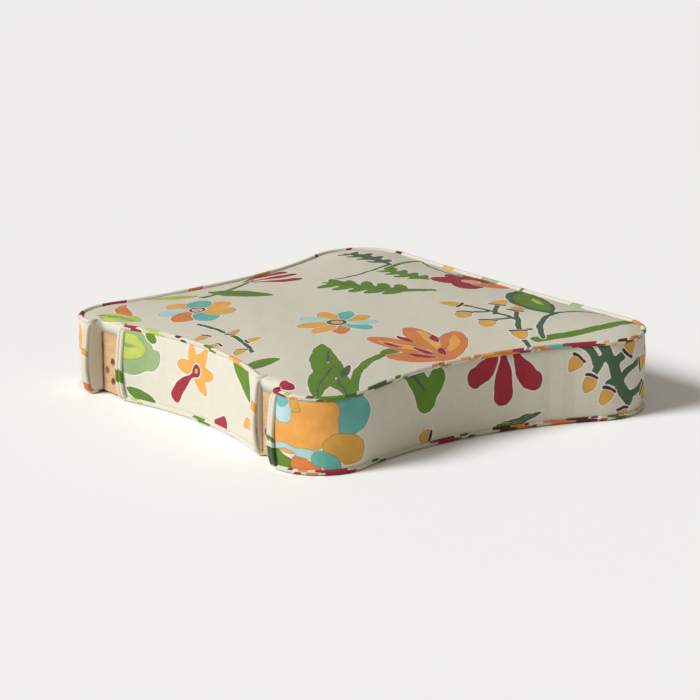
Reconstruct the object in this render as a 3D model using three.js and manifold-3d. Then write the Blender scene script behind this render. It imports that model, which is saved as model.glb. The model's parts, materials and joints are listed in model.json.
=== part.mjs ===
// Upholstered seat pad of a dining chair, in millimetres, +Z up, front towards -Y.
//
// A beech frame of four rails carries woven webbing, a hessian sheet, a foam slab with a soft
// crown and a layer of wadding. A printed linen cover is closed over it: a top panel, a boxing
// band, welts along its upper and lower edge, and double welts beside the two rear legs, which
// stand in shallow notches of the rear edge. The front legs bolt up under the front corners.
// The origin is the centre of the pad's bounding box, on its underside.
import * as THREE from "three";
import { mergeVertices } from "three/addons/utils/BufferGeometryUtils.js";
import Module from "manifold-3d";

const wasm = await Module();
wasm.setup();

// ---- Driving dimensions -------------------------------------------------------------------

// Plan of the cover, measured on the band's outer face.
const frontWidth = 518;
const waistWidth = 420;
const rearWidth = 458;
const depth = 465;
const frontLobeRadius = 61;
const rearLobeRadius = 56;
const frontDip = 4; // how far the front edge draws in between its lobes
const rearDip = 33; // how far the rear edge draws in between its lobes

// Heights of the cover.
const bandHeight = 83; // from the lower welt's centre to the upper welt's centre
const crownHeight = 12; // rise of the top panel over its rim

// Legs that the pad is fastened to.
const rearLegSpacing = 298; // centre to centre
const rearLegWidth = 36;
const rearNotchDepth = 16; // from the rear lobes to the face that the leg bears on
const frontLegSetBack = 56; // leg centre from the front edge
const frontLegSetIn = 38; // leg centre from the side of the front lobe
const frontLegSeat = 40; // side of the square face that the front leg bears on
const legBoltRadius = 4.3; // clearance hole for an M8 bolt

// Materials' thicknesses.
const clothThickness = 1.2;
const dustClothThickness = 0.8;
const weltRadius = 2.7;
const doubleWeltRadius = 2.4;
const edgeFoamThickness = 8;
const softLayerThickness = 3.6; // rim thickness of the foam crown
const waddingThickness = 4;
const railThickness = 24;
const railHeight = 47.4;
const hessianThickness = 1;
const strapThickness = 1.5;
const strapWidth = 50;
const strapRamp = 12; // length over which a strap comes down from its last crossing

// Small hardware.
const blockScrewLength = 44;
const screwGrip = 16; // length that a block's screw runs into the rail
const padScrewLength = 19;
const screwShankRadius = 2;
const screwHeadRadius = 4;
const screwHeadHeight = 2.6;
const dowelRadius = 4;
const dowelLength = 34;
const tnutBarrelRadius = 5;
const tnutBarrelLength = 12;
const tnutFlangeRadius = 9.5;
const tnutFlangeThickness = 1.5;

// Gaps.
const gap = 0.3; // between neighbours that touch
const legClearance = 1; // between a rear leg and each side of its notch
const seatClearance = 0.5; // between a front leg's seat and the cloth around it

// Layout.
const floorSkirt = 0.1; // height of the lower welt over the surface the pad lies on
const weltInset = 0.8; // how far a welt's centre lies inside the band's face
const facingWidth = 23;
const dustClothInset = 18;
const hessianInset = 12;
const strapInset = 14;
const strapOnBlock = 12; // width of the first cross strap that lies on the front blocks
const strapFromRearRail = 75; // from the rear rail to the middle of the last cross strap
const lengthwaysPitch = 108;
const innerRingInset = 14; // first ring of the crown inside its rim
const crownRings = [0.8, 0.58, 0.32];
const frontBlockReach = 26; // front block, from the lobe's centre inwards
const rearBlockReach = 45; // rear block, from the lobe's centre inwards
const rearBlockHeight = 43;
const screwClearsNotch = 4; // outwards from the lobe's centre
const padHeight = 67;
const railFlat = 1.5; // depth of the flat that a leg pad is let into, at its shallow side

// ---- Plan outline -------------------------------------------------------------------------

const halfDepth = depth / 2;
const rearLegX = rearLegSpacing / 2;
const notchHalf = rearLegWidth / 2 + legClearance;
const notchFloor = halfDepth - rearNotchDepth;
const frontLeg = { x: frontWidth / 2 - frontLegSetIn, y: -halfDepth + frontLegSetBack };

const frontLobe = lobe(frontWidth / 2 - frontLobeRadius, -halfDepth + frontLobeRadius, frontLobeRadius);
const rearLobe = lobe(rearWidth / 2 - rearLobeRadius, halfDepth - rearLobeRadius, rearLobeRadius);

function lobe(x, y, radius) {
  return { x, y, radius, convex: true };
}

const mirrored = (circle) => ({ ...circle, x: -circle.x });

// The hollow arc between two lobes that mirror each other, drawn in by dip.
function hollowBetween(corner, edgeY, dip, towards) {
  const radius = (corner.x ** 2 + dip ** 2) / (2 * dip) - corner.radius;
  return { x: 0, y: edgeY - towards * dip + towards * radius, radius, convex: false };
}

// The hollow arc of a side, which touches both lobes and passes through the waist.
function hollowSide(front, rear, waist) {
  const reach = (corner, radius) => {
    const across = waist - corner.x;
    return Math.sqrt(2 * radius * (corner.radius - across) + corner.radius ** 2 - across ** 2);
  };
  let low = 50;
  let high = 20000;
  for (let i = 0; i < 60; i++) {
    const radius = (low + high) / 2;
    if (reach(front, radius) + reach(rear, radius) > rear.y - front.y) high = radius;
    else low = radius;
  }
  return { x: waist + low, y: front.y + reach(front, low), radius: low, convex: false };
}

const frontHollow = hollowBetween(frontLobe, -halfDepth, frontDip, -1);
const rearHollow = hollowBetween(rearLobe, halfDepth, rearDip, 1);
const rightHollow = hollowSide(frontLobe, rearLobe, waistWidth / 2);

// Circles in order round the pad, counter-clockwise from above, with their segment counts.
const circles = [
  [frontHollow, 4],
  [frontLobe, 9],
  [rightHollow, 7],
  [rearLobe, 9],
  [rearHollow, 11],
  [mirrored(rearLobe), 9],
  [mirrored(rightHollow), 7],
  [mirrored(frontLobe), 9],
];

// The outline drawn in by inset everywhere: lobes shrink and hollows grow, so it stays parallel.
function outline(inset) {
  const points = [];
  circles.forEach(([circle, segments], i) => {
    const before = circles.at(i - 1)[0];
    const after = circles[(i + 1) % circles.length][0];
    const start = Math.atan2(before.y - circle.y, before.x - circle.x);
    let sweep = Math.atan2(after.y - circle.y, after.x - circle.x) - start;
    if (circle.convex && sweep < 0) sweep += 2 * Math.PI;
    if (!circle.convex && sweep > 0) sweep -= 2 * Math.PI;
    const radius = circle.radius + (circle.convex ? -inset : inset);
    for (let k = 0; k < segments; k++) {
      const angle = start + (sweep * k) / segments;
      const x = circle.x + radius * Math.cos(angle);
      const y = circle.y + radius * Math.sin(angle);
      points.push(new THREE.Vector2(x, y));
    }
  });
  return points;
}

// How far out the outline drawn in by inset lies along axis, towards sign, where its other
// coordinate is at.
function edge(axis, sign, at, inset) {
  const other = axis === "x" ? "y" : "x";
  const points = outline(inset);
  let found = -Infinity;
  points.forEach((a, i) => {
    const b = points[(i + 1) % points.length];
    if ((a[other] - at) * (b[other] - at) > 0 || a[other] === b[other]) return;
    const share = (at - a[other]) / (b[other] - a[other]);
    found = Math.max(found, sign * (a[axis] + (b[axis] - a[axis]) * share));
  });
  return sign * found;
}

// ---- Heights of the layers ----------------------------------------------------------------

const facingZ = dustClothThickness + gap;
const frameZ = facingZ + clothThickness + gap; // underside of the rails
const frameTop = frameZ + railHeight;
const strapZ = frameTop + gap;
const strapStep = strapThickness + gap; // between the two levels of the weave
const hessianZ = strapZ + 2 * strapStep;
const slabZ = hessianZ + hessianThickness + gap;
const lowerWeltZ = floorSkirt + weltRadius;
const upperWeltZ = lowerWeltZ + bandHeight;
const bandBottom = lowerWeltZ + weltRadius + gap;
const bandTop = upperWeltZ - weltRadius - gap;
const panelZ = bandTop + gap;
const waddingZ = panelZ - gap - waddingThickness;
const softZ = waddingZ - gap - softLayerThickness;
const slabTop = softZ - gap;

// Insets of the layers from the band's outer face.
const edgeFoamInset = clothThickness + gap;
const railInset = edgeFoamInset + edgeFoamThickness + gap;
const midRail = railInset + railThickness / 2;
const blockInset = railInset + railThickness + gap;
const tnutFlangeZ = frameTop - tnutFlangeThickness; // the flange lies flush in the block's top
const tnutZ = tnutFlangeZ - tnutBarrelLength;
const rimInset = weltInset + weltRadius + gap; // edge of the layers under the upper welt
const padBack = edge("y", 1, rearLegX - notchHalf, railInset) - railFlat; // the rail is cut flat here

// ---- Solids -------------------------------------------------------------------------------

function solid(geometry) {
  const bare = geometry.clone();
  bare.deleteAttribute("normal");
  bare.deleteAttribute("uv");
  const merged = mergeVertices(bare, 1e-4);
  return new wasm.Manifold(
    new wasm.Mesh({
      numProp: 3,
      vertProperties: merged.attributes.position.array,
      triVerts: new Uint32Array(merged.index.array),
    }),
  );
}

// A flat-ended slab of a closed plan outline.
function slab(points, bottom, top) {
  const geometry = new THREE.ExtrudeGeometry(new THREE.Shape(points), {
    depth: top - bottom,
    bevelEnabled: false,
  });
  return solid(geometry.translate(0, 0, bottom));
}

// A box between two corners, turned about its own vertical axis if asked.
function block([x0, y0, z0], [x1, y1, z1], turn = 0) {
  const geometry = new THREE.BoxGeometry(x1 - x0, y1 - y0, z1 - z0).rotateZ(turn);
  return solid(geometry.translate((x0 + x1) / 2, (y0 + y1) / 2, (z0 + z1) / 2));
}

// A closed mesh from a grid of points: rows of equal length, each joined into a loop.
function grid(rows, closedTube) {
  const count = rows[0].length;
  const positions = rows.flat().flatMap((p) => [p.x, p.y, p.z]);
  const faces = [];
  const last = closedTube ? rows.length : rows.length - 1;
  for (let r = 0; r < last; r++) {
    const next = ((r + 1) % rows.length) * count;
    for (let i = 0; i < count; i++) {
      const j = (i + 1) % count;
      faces.push(r * count + i, r * count + j, next + j, r * count + i, next + j, next + i);
    }
  }
  if (!closedTube) {
    const top = positions.length / 3;
    const bottom = top + 1;
    for (const row of [rows[rows.length - 1], rows[0]]) positions.push(0, 0, row.centreZ);
    const end = last * count;
    for (let i = 0; i < count; i++) {
      const j = (i + 1) % count;
      faces.push(end + i, end + j, top, j, i, bottom);
    }
  }
  const geometry = new THREE.BufferGeometry();
  geometry.setAttribute("position", new THREE.BufferAttribute(new Float32Array(positions), 3));
  return solid(geometry.setIndex(faces));
}

// A round cord that follows the whole outline.
function cord(inset, z, radius, sides = 8) {
  const rows = [];
  for (let k = 0; k < sides; k++) {
    const angle = (2 * Math.PI * (k + 0.5)) / sides;
    const height = z + radius * Math.sin(angle);
    rows.push(outline(inset - radius * Math.cos(angle)).map((p) => ({ x: p.x, y: p.y, z: height })));
  }
  return grid(rows, true);
}

// A crowned layer: its top rises from the rim towards the middle, and its underside either
// follows the top at one thickness or is flat at flatBottom.
function crownedLayer(bottom, thickness, flatBottom) {
  const rise = (share) => crownHeight * (1 - share ** 2);
  const rings = [
    { points: outline(rimInset), share: 1 - rimInset / halfDepth },
    { points: outline(innerRingInset), share: 1 - innerRingInset / halfDepth },
  ];
  for (const factor of crownRings) {
    rings.push({
      points: outline(innerRingInset).map((p) => p.clone().multiplyScalar(factor)),
      share: rings[1].share * factor,
    });
  }
  const surface = (ring, base) => {
    const z = base + rise(ring.share);
    const row = ring.points.map((p) => ({ x: p.x, y: p.y, z }));
    row.centreZ = base + crownHeight;
    return row;
  };
  const upper = rings.map((ring) => surface(ring, bottom + thickness));
  if (!flatBottom) return grid([...rings.map((ring) => surface(ring, bottom)).reverse(), ...upper], false);
  const flat = rings[0].points.map((p) => ({ x: p.x, y: p.y, z: bottom }));
  flat.centreZ = bottom;
  return grid([flat, ...upper], false);
}

// The room of both rear legs, widened by side and reaching forward to floor.
function notches(side, floor) {
  const half = notchHalf + side;
  const far = halfDepth + 50;
  const right = block([rearLegX - half, floor, -50], [rearLegX + half, far, 200]);
  return right.add(block([-rearLegX - half, floor, -50], [-rearLegX + half, far, 200]));
}

// The square holes that the front legs' seats stand in.
function frontSeatHoles() {
  const half = frontLegSeat / 2 + seatClearance;
  const hole = (x) => block([x - half, frontLeg.y - half, -10], [x + half, frontLeg.y + half, frameZ]);
  return hole(frontLeg.x).add(hole(-frontLeg.x));
}

// Splits a loop that the notches have cut into the long piece and the short rear one.
function longAndRear(cut) {
  return cut.decompose().sort((a, b) => b.volume() - a.volume());
}

// Saw cuts through the corners, along the line that halves each lobe.
function mitres(corners) {
  const length = 200;
  const cuts = corners.map((corner) => {
    const turn = Math.atan2(Math.sign(corner.y), Math.sign(corner.x));
    const geometry = new THREE.BoxGeometry(length, gap, 400).translate(length / 2, 0, 0);
    return solid(geometry.rotateZ(turn).translate(corner.x, corner.y, 0));
  });
  return cuts.reduce((all, cut) => all.add(cut));
}

// A body turned from a profile about Z, then pointed along direction from a place.
function turned(profile, segments, place, direction) {
  const geometry = new THREE.LatheGeometry(profile.map(([r, z]) => new THREE.Vector2(r, z)), segments);
  const swing = new THREE.Quaternion().setFromUnitVectors(new THREE.Vector3(0, 1, 0), direction);
  return solid(geometry.applyQuaternion(swing).translate(place.x, place.y, place.z));
}

function rod(radius, from, direction, length, segments = 12) {
  return turned([[0, 0], [radius, 0], [radius, length], [0, length]], segments, from, direction);
}

// A countersunk screw whose head lies at the place and whose point lies along direction.
function screw(place, direction, length, grow = 0) {
  const shank = screwShankRadius + grow;
  const head = screwHeadRadius + grow;
  const profile = [
    [0, -grow],
    [head, -grow],
    [head, 0.5],
    [shank, screwHeadHeight + grow],
    [shank, length - 4],
    [0, length + grow],
  ];
  return turned(profile, 10, place, direction);
}

// ---- Nodes --------------------------------------------------------------------------------

const pad = new THREE.Group();

const finishes = {
  beech: new THREE.MeshStandardMaterial({ color: 0xc99b66, roughness: 0.65, metalness: 0 }),
  steel: new THREE.MeshStandardMaterial({ color: 0xb8b8b4, roughness: 0.35, metalness: 0.9 }),
  webbing: new THREE.MeshStandardMaterial({ color: 0xa98b5d, roughness: 0.95, metalness: 0 }),
  hessian: new THREE.MeshStandardMaterial({ color: 0xb59a6a, roughness: 1, metalness: 0 }),
  foam: new THREE.MeshStandardMaterial({ color: 0xe9dfae, roughness: 1, metalness: 0 }),
  wadding: new THREE.MeshStandardMaterial({ color: 0xf4f4f0, roughness: 1, metalness: 0 }),
  linen: new THREE.MeshStandardMaterial({ color: 0xded6c8, roughness: 0.9, metalness: 0 }),
  welt: new THREE.MeshStandardMaterial({ color: 0xd8cdbb, roughness: 0.9, metalness: 0 }),
  dustCloth: new THREE.MeshStandardMaterial({ color: 0x2a2a2b, roughness: 1, metalness: 0 }),
};

function addNode(name, body, finish) {
  const { numProp, vertProperties, triVerts } = body.getMesh();
  const positions = [];
  for (let i = 0; i < vertProperties.length; i += numProp) positions.push(...vertProperties.slice(i, i + 3));
  const geometry = new THREE.BufferGeometry();
  geometry.setAttribute("position", new THREE.BufferAttribute(new Float32Array(positions), 3));
  geometry.setIndex(new THREE.BufferAttribute(triVerts, 1));
  const mesh = new THREE.Mesh(geometry, finish);
  mesh.name = name;
  pad.add(mesh);
}

const sides = [
  ["left", 1],
  ["right", -1],
]; // the sitter's left is towards +X

// Screws, dowels and bolt holes, kept so that what they pass through can be bored.
const bores = [];

function boltHoles(side) {
  const start = (z) => new THREE.Vector3(side * rearLegX, padBack - 60, z);
  const holes = [0.28, 0.75].map((share) =>
    rod(legBoltRadius, start(frameZ + railHeight * share), new THREE.Vector3(0, 1, 0), 120));
  return holes[0].add(holes[1]);
}

// Front corner: a block sawn to the lobe. It carries the leg, on a square seat that reaches down
// through the facing and the dust cloth.
function frontCorner(hand, side) {
  const x = side * frontLeg.x;
  const y = frontLeg.y;
  const half = frontLegSeat / 2;
  const up = new THREE.Vector3(0, 0, 1);
  let body = slab(outline(railInset), frameZ, frameTop).intersect(frontCornerRoom(side, 0));
  body = body.add(block([x - half, y - half, 0], [x + half, y + half, frameZ + 1]));
  body = body.subtract(rod(legBoltRadius, new THREE.Vector3(x, y, -5), up, 100, 16));
  body = body.subtract(rod(tnutBarrelRadius + gap, new THREE.Vector3(x, y, tnutZ - gap), up, 60, 16));
  body = body.subtract(rod(tnutFlangeRadius + gap, new THREE.Vector3(x, y, tnutFlangeZ - gap), up, 60, 16));
  for (const dowel of frontDowels(side)) {
    bores.push(dowel.body(gap));
    body = body.subtract(dowel.body(gap));
    addNode(`front_${hand}_dowel_${dowel.rail}`, dowel.body(0), finishes.beech);
  }
  addNode(`front_${hand}_corner_block`, body, finishes.beech);
  addNode(`front_${hand}_leg_tee_nut`, teeNut(x, y), finishes.steel);
}

// The room that a front corner block takes out of the frame.
function frontCornerRoom(side, clearance) {
  const inner = side * (frontLobe.x - frontBlockReach - clearance);
  const outer = side * frontWidth;
  const back = frontLobe.y + frontBlockReach + clearance;
  return block([Math.min(inner, outer), -depth, -50], [Math.max(inner, outer), back, 200]);
}

// Dowels that join a front block to the front rail and to its side rail, along each rail's middle.
function frontDowels(side) {
  const toFront = side * (frontLobe.x - frontBlockReach);
  const toSide = frontLobe.y + frontBlockReach;
  const reach = dowelLength / 2;
  const onFront = (x) => new THREE.Vector3(x, edge("y", -1, x, midRail), 0);
  const onSide = (y) => new THREE.Vector3(edge("x", side, y, midRail), y, 0);
  return [
    { rail: "front", at: onFront(toFront), ends: [onFront(toFront - reach), onFront(toFront + reach)] },
    { rail: "side", at: onSide(toSide), ends: [onSide(toSide - reach), onSide(toSide + reach)] },
  ].map(({ rail, at, ends }) => {
    const along = ends[1].sub(ends[0]).normalize();
    return { rail, body: (grow) => dowelBody([at.x, at.y], along, grow) };
  });
}

// A dowel, half in the piece on each side of the joint at the place.
function dowelBody([x, y], along, grow) {
  const start = new THREE.Vector3(x, y, frameZ + railHeight * 0.4);
  start.addScaledVector(along, -dowelLength / 2 - grow);
  return rod(dowelRadius + grow, start, along, dowelLength + 2 * grow);
}

// A tee nut: a threaded barrel let into the block under a round flange.
function teeNut(x, y) {
  const top = tnutBarrelLength + tnutFlangeThickness;
  const profile = [
    [legBoltRadius, 0],
    [tnutBarrelRadius, 0],
    [tnutBarrelRadius, tnutBarrelLength],
    [tnutFlangeRadius, tnutBarrelLength],
    [tnutFlangeRadius, top],
    [legBoltRadius, top],
    [legBoltRadius, 0],
  ];
  const up = new THREE.Vector3(0, 0, 1);
  return turned(profile, 16, new THREE.Vector3(x, y, tnutZ), up);
}

// Rear corner: the rails are mitred and dowelled, with a block screwed into the angle.
function rearCorner(hand, side) {
  const diagonal = Math.atan2(1, side);
  const keep = new THREE.BoxGeometry(300, 300, 400).translate(150 - rearBlockReach, 0, 0).rotateZ(diagonal);
  let body = slab(outline(blockInset), frameZ, frameZ + rearBlockHeight);
  body = body.intersect(solid(keep.translate(side * rearLobe.x, rearLobe.y, 0)));
  for (const { rail, place, direction } of rearBlockScrews(side)) {
    const bore = screw(place, direction, blockScrewLength, gap);
    bores.push(bore);
    body = body.subtract(bore.add(rod(screwHeadRadius + gap, place, direction.clone().negate(), 120, 10)));
    addNode(`rear_${hand}_block_screw_${rail}`, screw(place, direction, blockScrewLength), finishes.steel);
  }
  addNode(`rear_${hand}_corner_block`, body, finishes.beech);

  const outwards = new THREE.Vector3(side, 1, 0).normalize();
  const along = new THREE.Vector3(-outwards.y, outwards.x, 0);
  const reach = (rearLobe.radius - midRail) / Math.SQRT2;
  const mitre = [side * (rearLobe.x + reach), rearLobe.y + reach];
  bores.push(dowelBody(mitre, along, gap));
  addNode(`rear_${hand}_dowel`, dowelBody(mitre, along, 0), finishes.beech);
}

// A rear block's two screws: one runs into the rear rail and one into the side rail.
function rearBlockScrews(side) {
  const head = rearLobe.radius - blockInset + screwGrip - blockScrewLength;
  const lowZ = frameZ + rearBlockHeight * 0.35;
  const highZ = frameZ + rearBlockHeight * 0.7;
  const toRear = new THREE.Vector3(side * (rearLobe.x + screwClearsNotch), rearLobe.y + head, lowZ);
  const toSide = new THREE.Vector3(side * (rearLobe.x + head), rearLobe.y - screwClearsNotch, highZ);
  return [
    { rail: "rear", place: toRear, direction: new THREE.Vector3(0, 1, 0) },
    { rail: "side", place: toSide, direction: new THREE.Vector3(side, 0, 0) },
  ];
}

for (const [hand, side] of sides) {
  frontCorner(hand, side);
  rearCorner(hand, side);
}

// Timber pads that the rear legs bear on, let into the rear rail and screwed to it.
for (const [hand, side] of sides) {
  const x = side * rearLegX;
  const half = rearLegWidth / 2;
  let body = block([x - half, padBack + gap, frameZ], [x + half, notchFloor, frameZ + padHeight]);
  body = body.subtract(boltHoles(side));
  for (const [which, shift] of [["inner", -11], ["outer", 11]]) {
    const place = new THREE.Vector3(x + side * shift, notchFloor - gap, frameZ + railHeight * 0.52);
    const direction = new THREE.Vector3(0, -1, 0);
    const bore = screw(place, direction, padScrewLength, gap);
    bores.push(bore);
    body = body.subtract(bore);
    addNode(`${hand}_leg_pad_screw_${which}`, screw(place, direction, padScrewLength), finishes.steel);
  }
  bores.push(boltHoles(side));
  addNode(`${hand}_rear_leg_pad`, body, finishes.beech);
}

// The four rails, sawn to the outline and mitred at the corners.
let frame = slab(outline(railInset), frameZ, frameTop).subtract(
  slab(outline(railInset + railThickness), frameZ - 1, frameTop + 1));
frame = frame.subtract(mitres([rearLobe, mirrored(rearLobe)]));
for (const [, side] of sides) frame = frame.subtract(frontCornerRoom(side, gap));
frame = frame.subtract(notches(edgeFoamInset, padBack));
for (const bore of bores) frame = frame.subtract(bore);
nameBySide(frame, "rail", finishes.beech);

// Names the four bodies of a cut ring by where their middles lie.
function nameBySide(ring, noun, finish) {
  for (const body of ring.decompose()) {
    const { min, max } = body.boundingBox();
    const middle = { x: (min[0] + max[0]) / 2, y: (min[1] + max[1]) / 2 };
    const sideways = Math.abs(middle.x) > 1;
    const where = sideways ? (middle.x > 0 ? "left" : "right") : middle.y > 0 ? "rear" : "front";
    addNode(`${where}_${noun}`, body, finish);
  }
}

// Foam strips that soften the rails' outer faces.
let edgeFoam = slab(outline(edgeFoamInset), bandBottom, slabZ - gap).subtract(
  slab(outline(edgeFoamInset + edgeFoamThickness), 0, slabZ + 1));
edgeFoam = edgeFoam.subtract(mitres([frontLobe, mirrored(frontLobe)]));
edgeFoam = edgeFoam.subtract(notches(edgeFoamInset, padBack));
nameBySide(edgeFoam, "edge_foam", finishes.foam);

// Webbing, woven over and under. Level 0 is the lower of the weave's two levels.
function strap(crossings, levelAt, span, across) {
  const half = strapWidth / 2 + 2;
  const line = [[-span, 0], [crossings[0] - half - strapRamp, 0]];
  crossings.forEach((at, i) => line.push([at - half, levelAt(i)], [at + half, levelAt(i)]));
  line.push([crossings.at(-1) + half + strapRamp, 0], [span, 0]);
  const heights = line.map(([s, level]) => [s, strapZ + level * strapStep]);
  const lower = heights.map(([s, z]) => new THREE.Vector2(s, z));
  const upper = heights.map(([s, z]) => new THREE.Vector2(s, z + strapThickness)).reverse();
  const geometry = new THREE.ExtrudeGeometry(new THREE.Shape([...lower, ...upper]), {
    depth: strapWidth,
    bevelEnabled: false,
  });
  geometry.translate(0, 0, -strapWidth / 2).rotateX(Math.PI / 2);
  return geometry.translate(0, across, 0);
}

const firstCross = frontLobe.y + frontBlockReach + strapWidth / 2 - strapOnBlock;
const lastCross = padBack - railThickness - strapFromRearRail;
const crossways = [0, 1, 2, 3].map((i) => firstCross + ((lastCross - firstCross) * i) / 3);
const lengthways = [-1, 0, 1].map((i) => i * lengthwaysPitch);
const webbingEdge = slab(outline(strapInset), strapZ - 1, hessianZ)
  .subtract(notches(edgeFoamInset, padBack));
crossways.forEach((y, j) => {
  const body = solid(strap(lengthways, (i) => (i + j) % 2, frontWidth / 2, y));
  addNode(`webbing_cross_${j + 1}`, body.intersect(webbingEdge), finishes.webbing);
});
lengthways.forEach((x, i) => {
  const geometry = strap(crossways, (j) => (i + j + 1) % 2, depth / 2, -x).rotateZ(Math.PI / 2);
  addNode(`webbing_long_${i + 1}`, solid(geometry).intersect(webbingEdge), finishes.webbing);
});

// Soft layers over the webbing. Each stops at the room of the rear legs.
const layerFloor = notchFloor - clothThickness - gap;
const layered = (body) => body.subtract(notches(edgeFoamInset, layerFloor));
addNode("hessian_sheet", slab(outline(hessianInset), hessianZ, hessianZ + hessianThickness)
  .subtract(notches(edgeFoamInset, padBack)), finishes.hessian);
addNode("foam_slab", slab(outline(edgeFoamInset), slabZ, slabTop)
  .subtract(notches(edgeFoamInset, padBack)), finishes.foam);
addNode("foam_crown", layered(crownedLayer(softZ, softLayerThickness, true)), finishes.foam);
addNode("top_wadding", layered(crownedLayer(waddingZ, waddingThickness, false)), finishes.wadding);

// Top panel, with a tongue turned down behind each rear leg.
let panel = crownedLayer(panelZ, clothThickness, false).subtract(notches(0, notchFloor));
for (const [, side] of sides) {
  const x = side * rearLegX;
  const half = rearLegWidth / 2;
  const tongueTop = panelZ + clothThickness / 2 + crownHeight * (1 - (1 - rimInset / halfDepth) ** 2);
  const room = slab(outline(rimInset), 0, 200);
  const tongue = block(
    [x - half, notchFloor - clothThickness, frameZ + padHeight + gap],
    [x + half, notchFloor, tongueTop],
  );
  panel = panel.add(tongue.intersect(room));
}
addNode("top_panel", panel, finishes.linen);

// Boxing band, upper and lower welt, and the facing that is tacked under the rails.
function addLoop(loop, side, floor, names, finish) {
  const [long, rear] = longAndRear(loop.subtract(notches(side, floor)));
  addNode(names[0], long, finish);
  addNode(names[1], rear, finish);
}

const band = slab(outline(0), bandBottom, bandTop).subtract(slab(outline(clothThickness), 0, 200));
const bandWithReturns = band.add(notchReturns()).subtract(notches(0, padBack));
const [longBand, rearBand] = longAndRear(bandWithReturns);
addNode("side_band", longBand, finishes.linen);
addNode("rear_band", rearBand, finishes.linen);

// The band turns in along each side of a notch, as far as the soft layers behind it.
function notchReturns() {
  const inside = slab(outline(0), bandBottom, bandTop);
  const half = notchHalf + clothThickness;
  const [left, right] = [-1, 1].map((side) => {
    const x = side * rearLegX;
    return block([x - half, layerFloor + gap, bandBottom], [x + half, halfDepth + 5, bandTop]);
  });
  return inside.intersect(left.add(right));
}

const weltEnds = padBack - 10;
for (const [name, z] of [["upper_welt", upperWeltZ], ["lower_welt", lowerWeltZ]]) {
  addLoop(cord(weltInset, z, weltRadius), 0, weltEnds, [name, `${name}_rear`], finishes.welt);
}

const facing = slab(outline(rimInset), facingZ, facingZ + clothThickness)
  .subtract(slab(outline(rimInset + facingWidth), 0, 10))
  .subtract(frontSeatHoles());
const facingEnds = padBack - railThickness * 2;
addLoop(facing, 0, facingEnds, ["underside_facing", "underside_facing_rear"], finishes.linen);

// Double welts that close the cover beside the rear legs.
for (const [hand, side] of sides) {
  for (const [which, away] of [["inner", -1], ["outer", 1]]) {
    const pitch = 2 * doubleWeltRadius - 0.4;
    const first = notchHalf + doubleWeltRadius + 0.6;
    const cords = [first, first + pitch].map((distance) => {
      const x = rearLegX + away * distance;
      const y = edge("y", 1, x, -doubleWeltRadius - gap);
      const length = bandTop - bandBottom;
      const geometry = new THREE.CylinderGeometry(doubleWeltRadius, doubleWeltRadius, length, 10);
      geometry.rotateX(Math.PI / 2).translate(side * x, y, (bandTop + bandBottom) / 2);
      return solid(geometry);
    });
    addNode(`${hand}_leg_double_welt_${which}`, cords[0].add(cords[1]), finishes.welt);
  }
}

// Black cloth over the underside.
addNode("dust_cloth", slab(outline(dustClothInset), 0, dustClothThickness).subtract(frontSeatHoles()),
  finishes.dustCloth);

// The origin goes to the middle of the bounding box, on the underside.
const box = new THREE.Box3().setFromObject(pad);
pad.position.set(-(box.min.x + box.max.x) / 2, -(box.min.y + box.max.y) / 2, -box.min.z);

export default pad;
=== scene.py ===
"""Looks of an upholstered seat pad: printed linen cover, welts, double welts and closed underside.

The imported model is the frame. Sizes are in metres, except on the print, which is laid out in
millimetres of flat cloth.
"""

import json
import math

import bmesh
import bpy
import numpy as np
from bpy.props import FloatProperty, FloatVectorProperty, PointerProperty
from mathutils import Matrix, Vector
from mathutils.geometry import delaunay_2d_cdt


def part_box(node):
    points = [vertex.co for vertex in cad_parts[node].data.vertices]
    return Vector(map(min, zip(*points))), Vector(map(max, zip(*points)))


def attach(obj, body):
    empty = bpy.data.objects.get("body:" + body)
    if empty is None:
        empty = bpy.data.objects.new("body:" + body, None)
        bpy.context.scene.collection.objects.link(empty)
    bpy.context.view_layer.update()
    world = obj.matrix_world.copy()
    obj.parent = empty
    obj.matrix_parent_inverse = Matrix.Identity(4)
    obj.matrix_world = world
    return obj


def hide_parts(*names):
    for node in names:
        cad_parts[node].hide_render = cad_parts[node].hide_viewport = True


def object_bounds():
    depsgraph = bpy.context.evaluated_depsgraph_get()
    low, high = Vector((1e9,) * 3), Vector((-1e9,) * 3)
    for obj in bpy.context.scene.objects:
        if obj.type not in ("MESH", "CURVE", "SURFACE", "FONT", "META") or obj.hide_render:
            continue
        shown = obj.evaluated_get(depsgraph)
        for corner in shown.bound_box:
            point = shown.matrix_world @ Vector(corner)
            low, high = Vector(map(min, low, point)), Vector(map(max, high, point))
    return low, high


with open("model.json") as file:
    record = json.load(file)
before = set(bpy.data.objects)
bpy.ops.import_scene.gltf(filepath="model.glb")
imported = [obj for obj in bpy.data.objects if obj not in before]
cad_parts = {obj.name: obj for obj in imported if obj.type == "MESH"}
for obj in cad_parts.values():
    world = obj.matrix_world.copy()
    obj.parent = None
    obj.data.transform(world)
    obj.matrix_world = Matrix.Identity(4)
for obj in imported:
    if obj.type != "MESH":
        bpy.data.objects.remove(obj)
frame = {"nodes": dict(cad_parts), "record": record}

bl_info = {
    "name": "Seat pad",
    "version": (1, 0, 0),
    "blender": (4, 5, 0),
    "location": "3D View > Sidebar > Seat pad",
    "description": "Builds an upholstered seat pad with a printed linen cover",
    "category": "Object",
}

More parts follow.
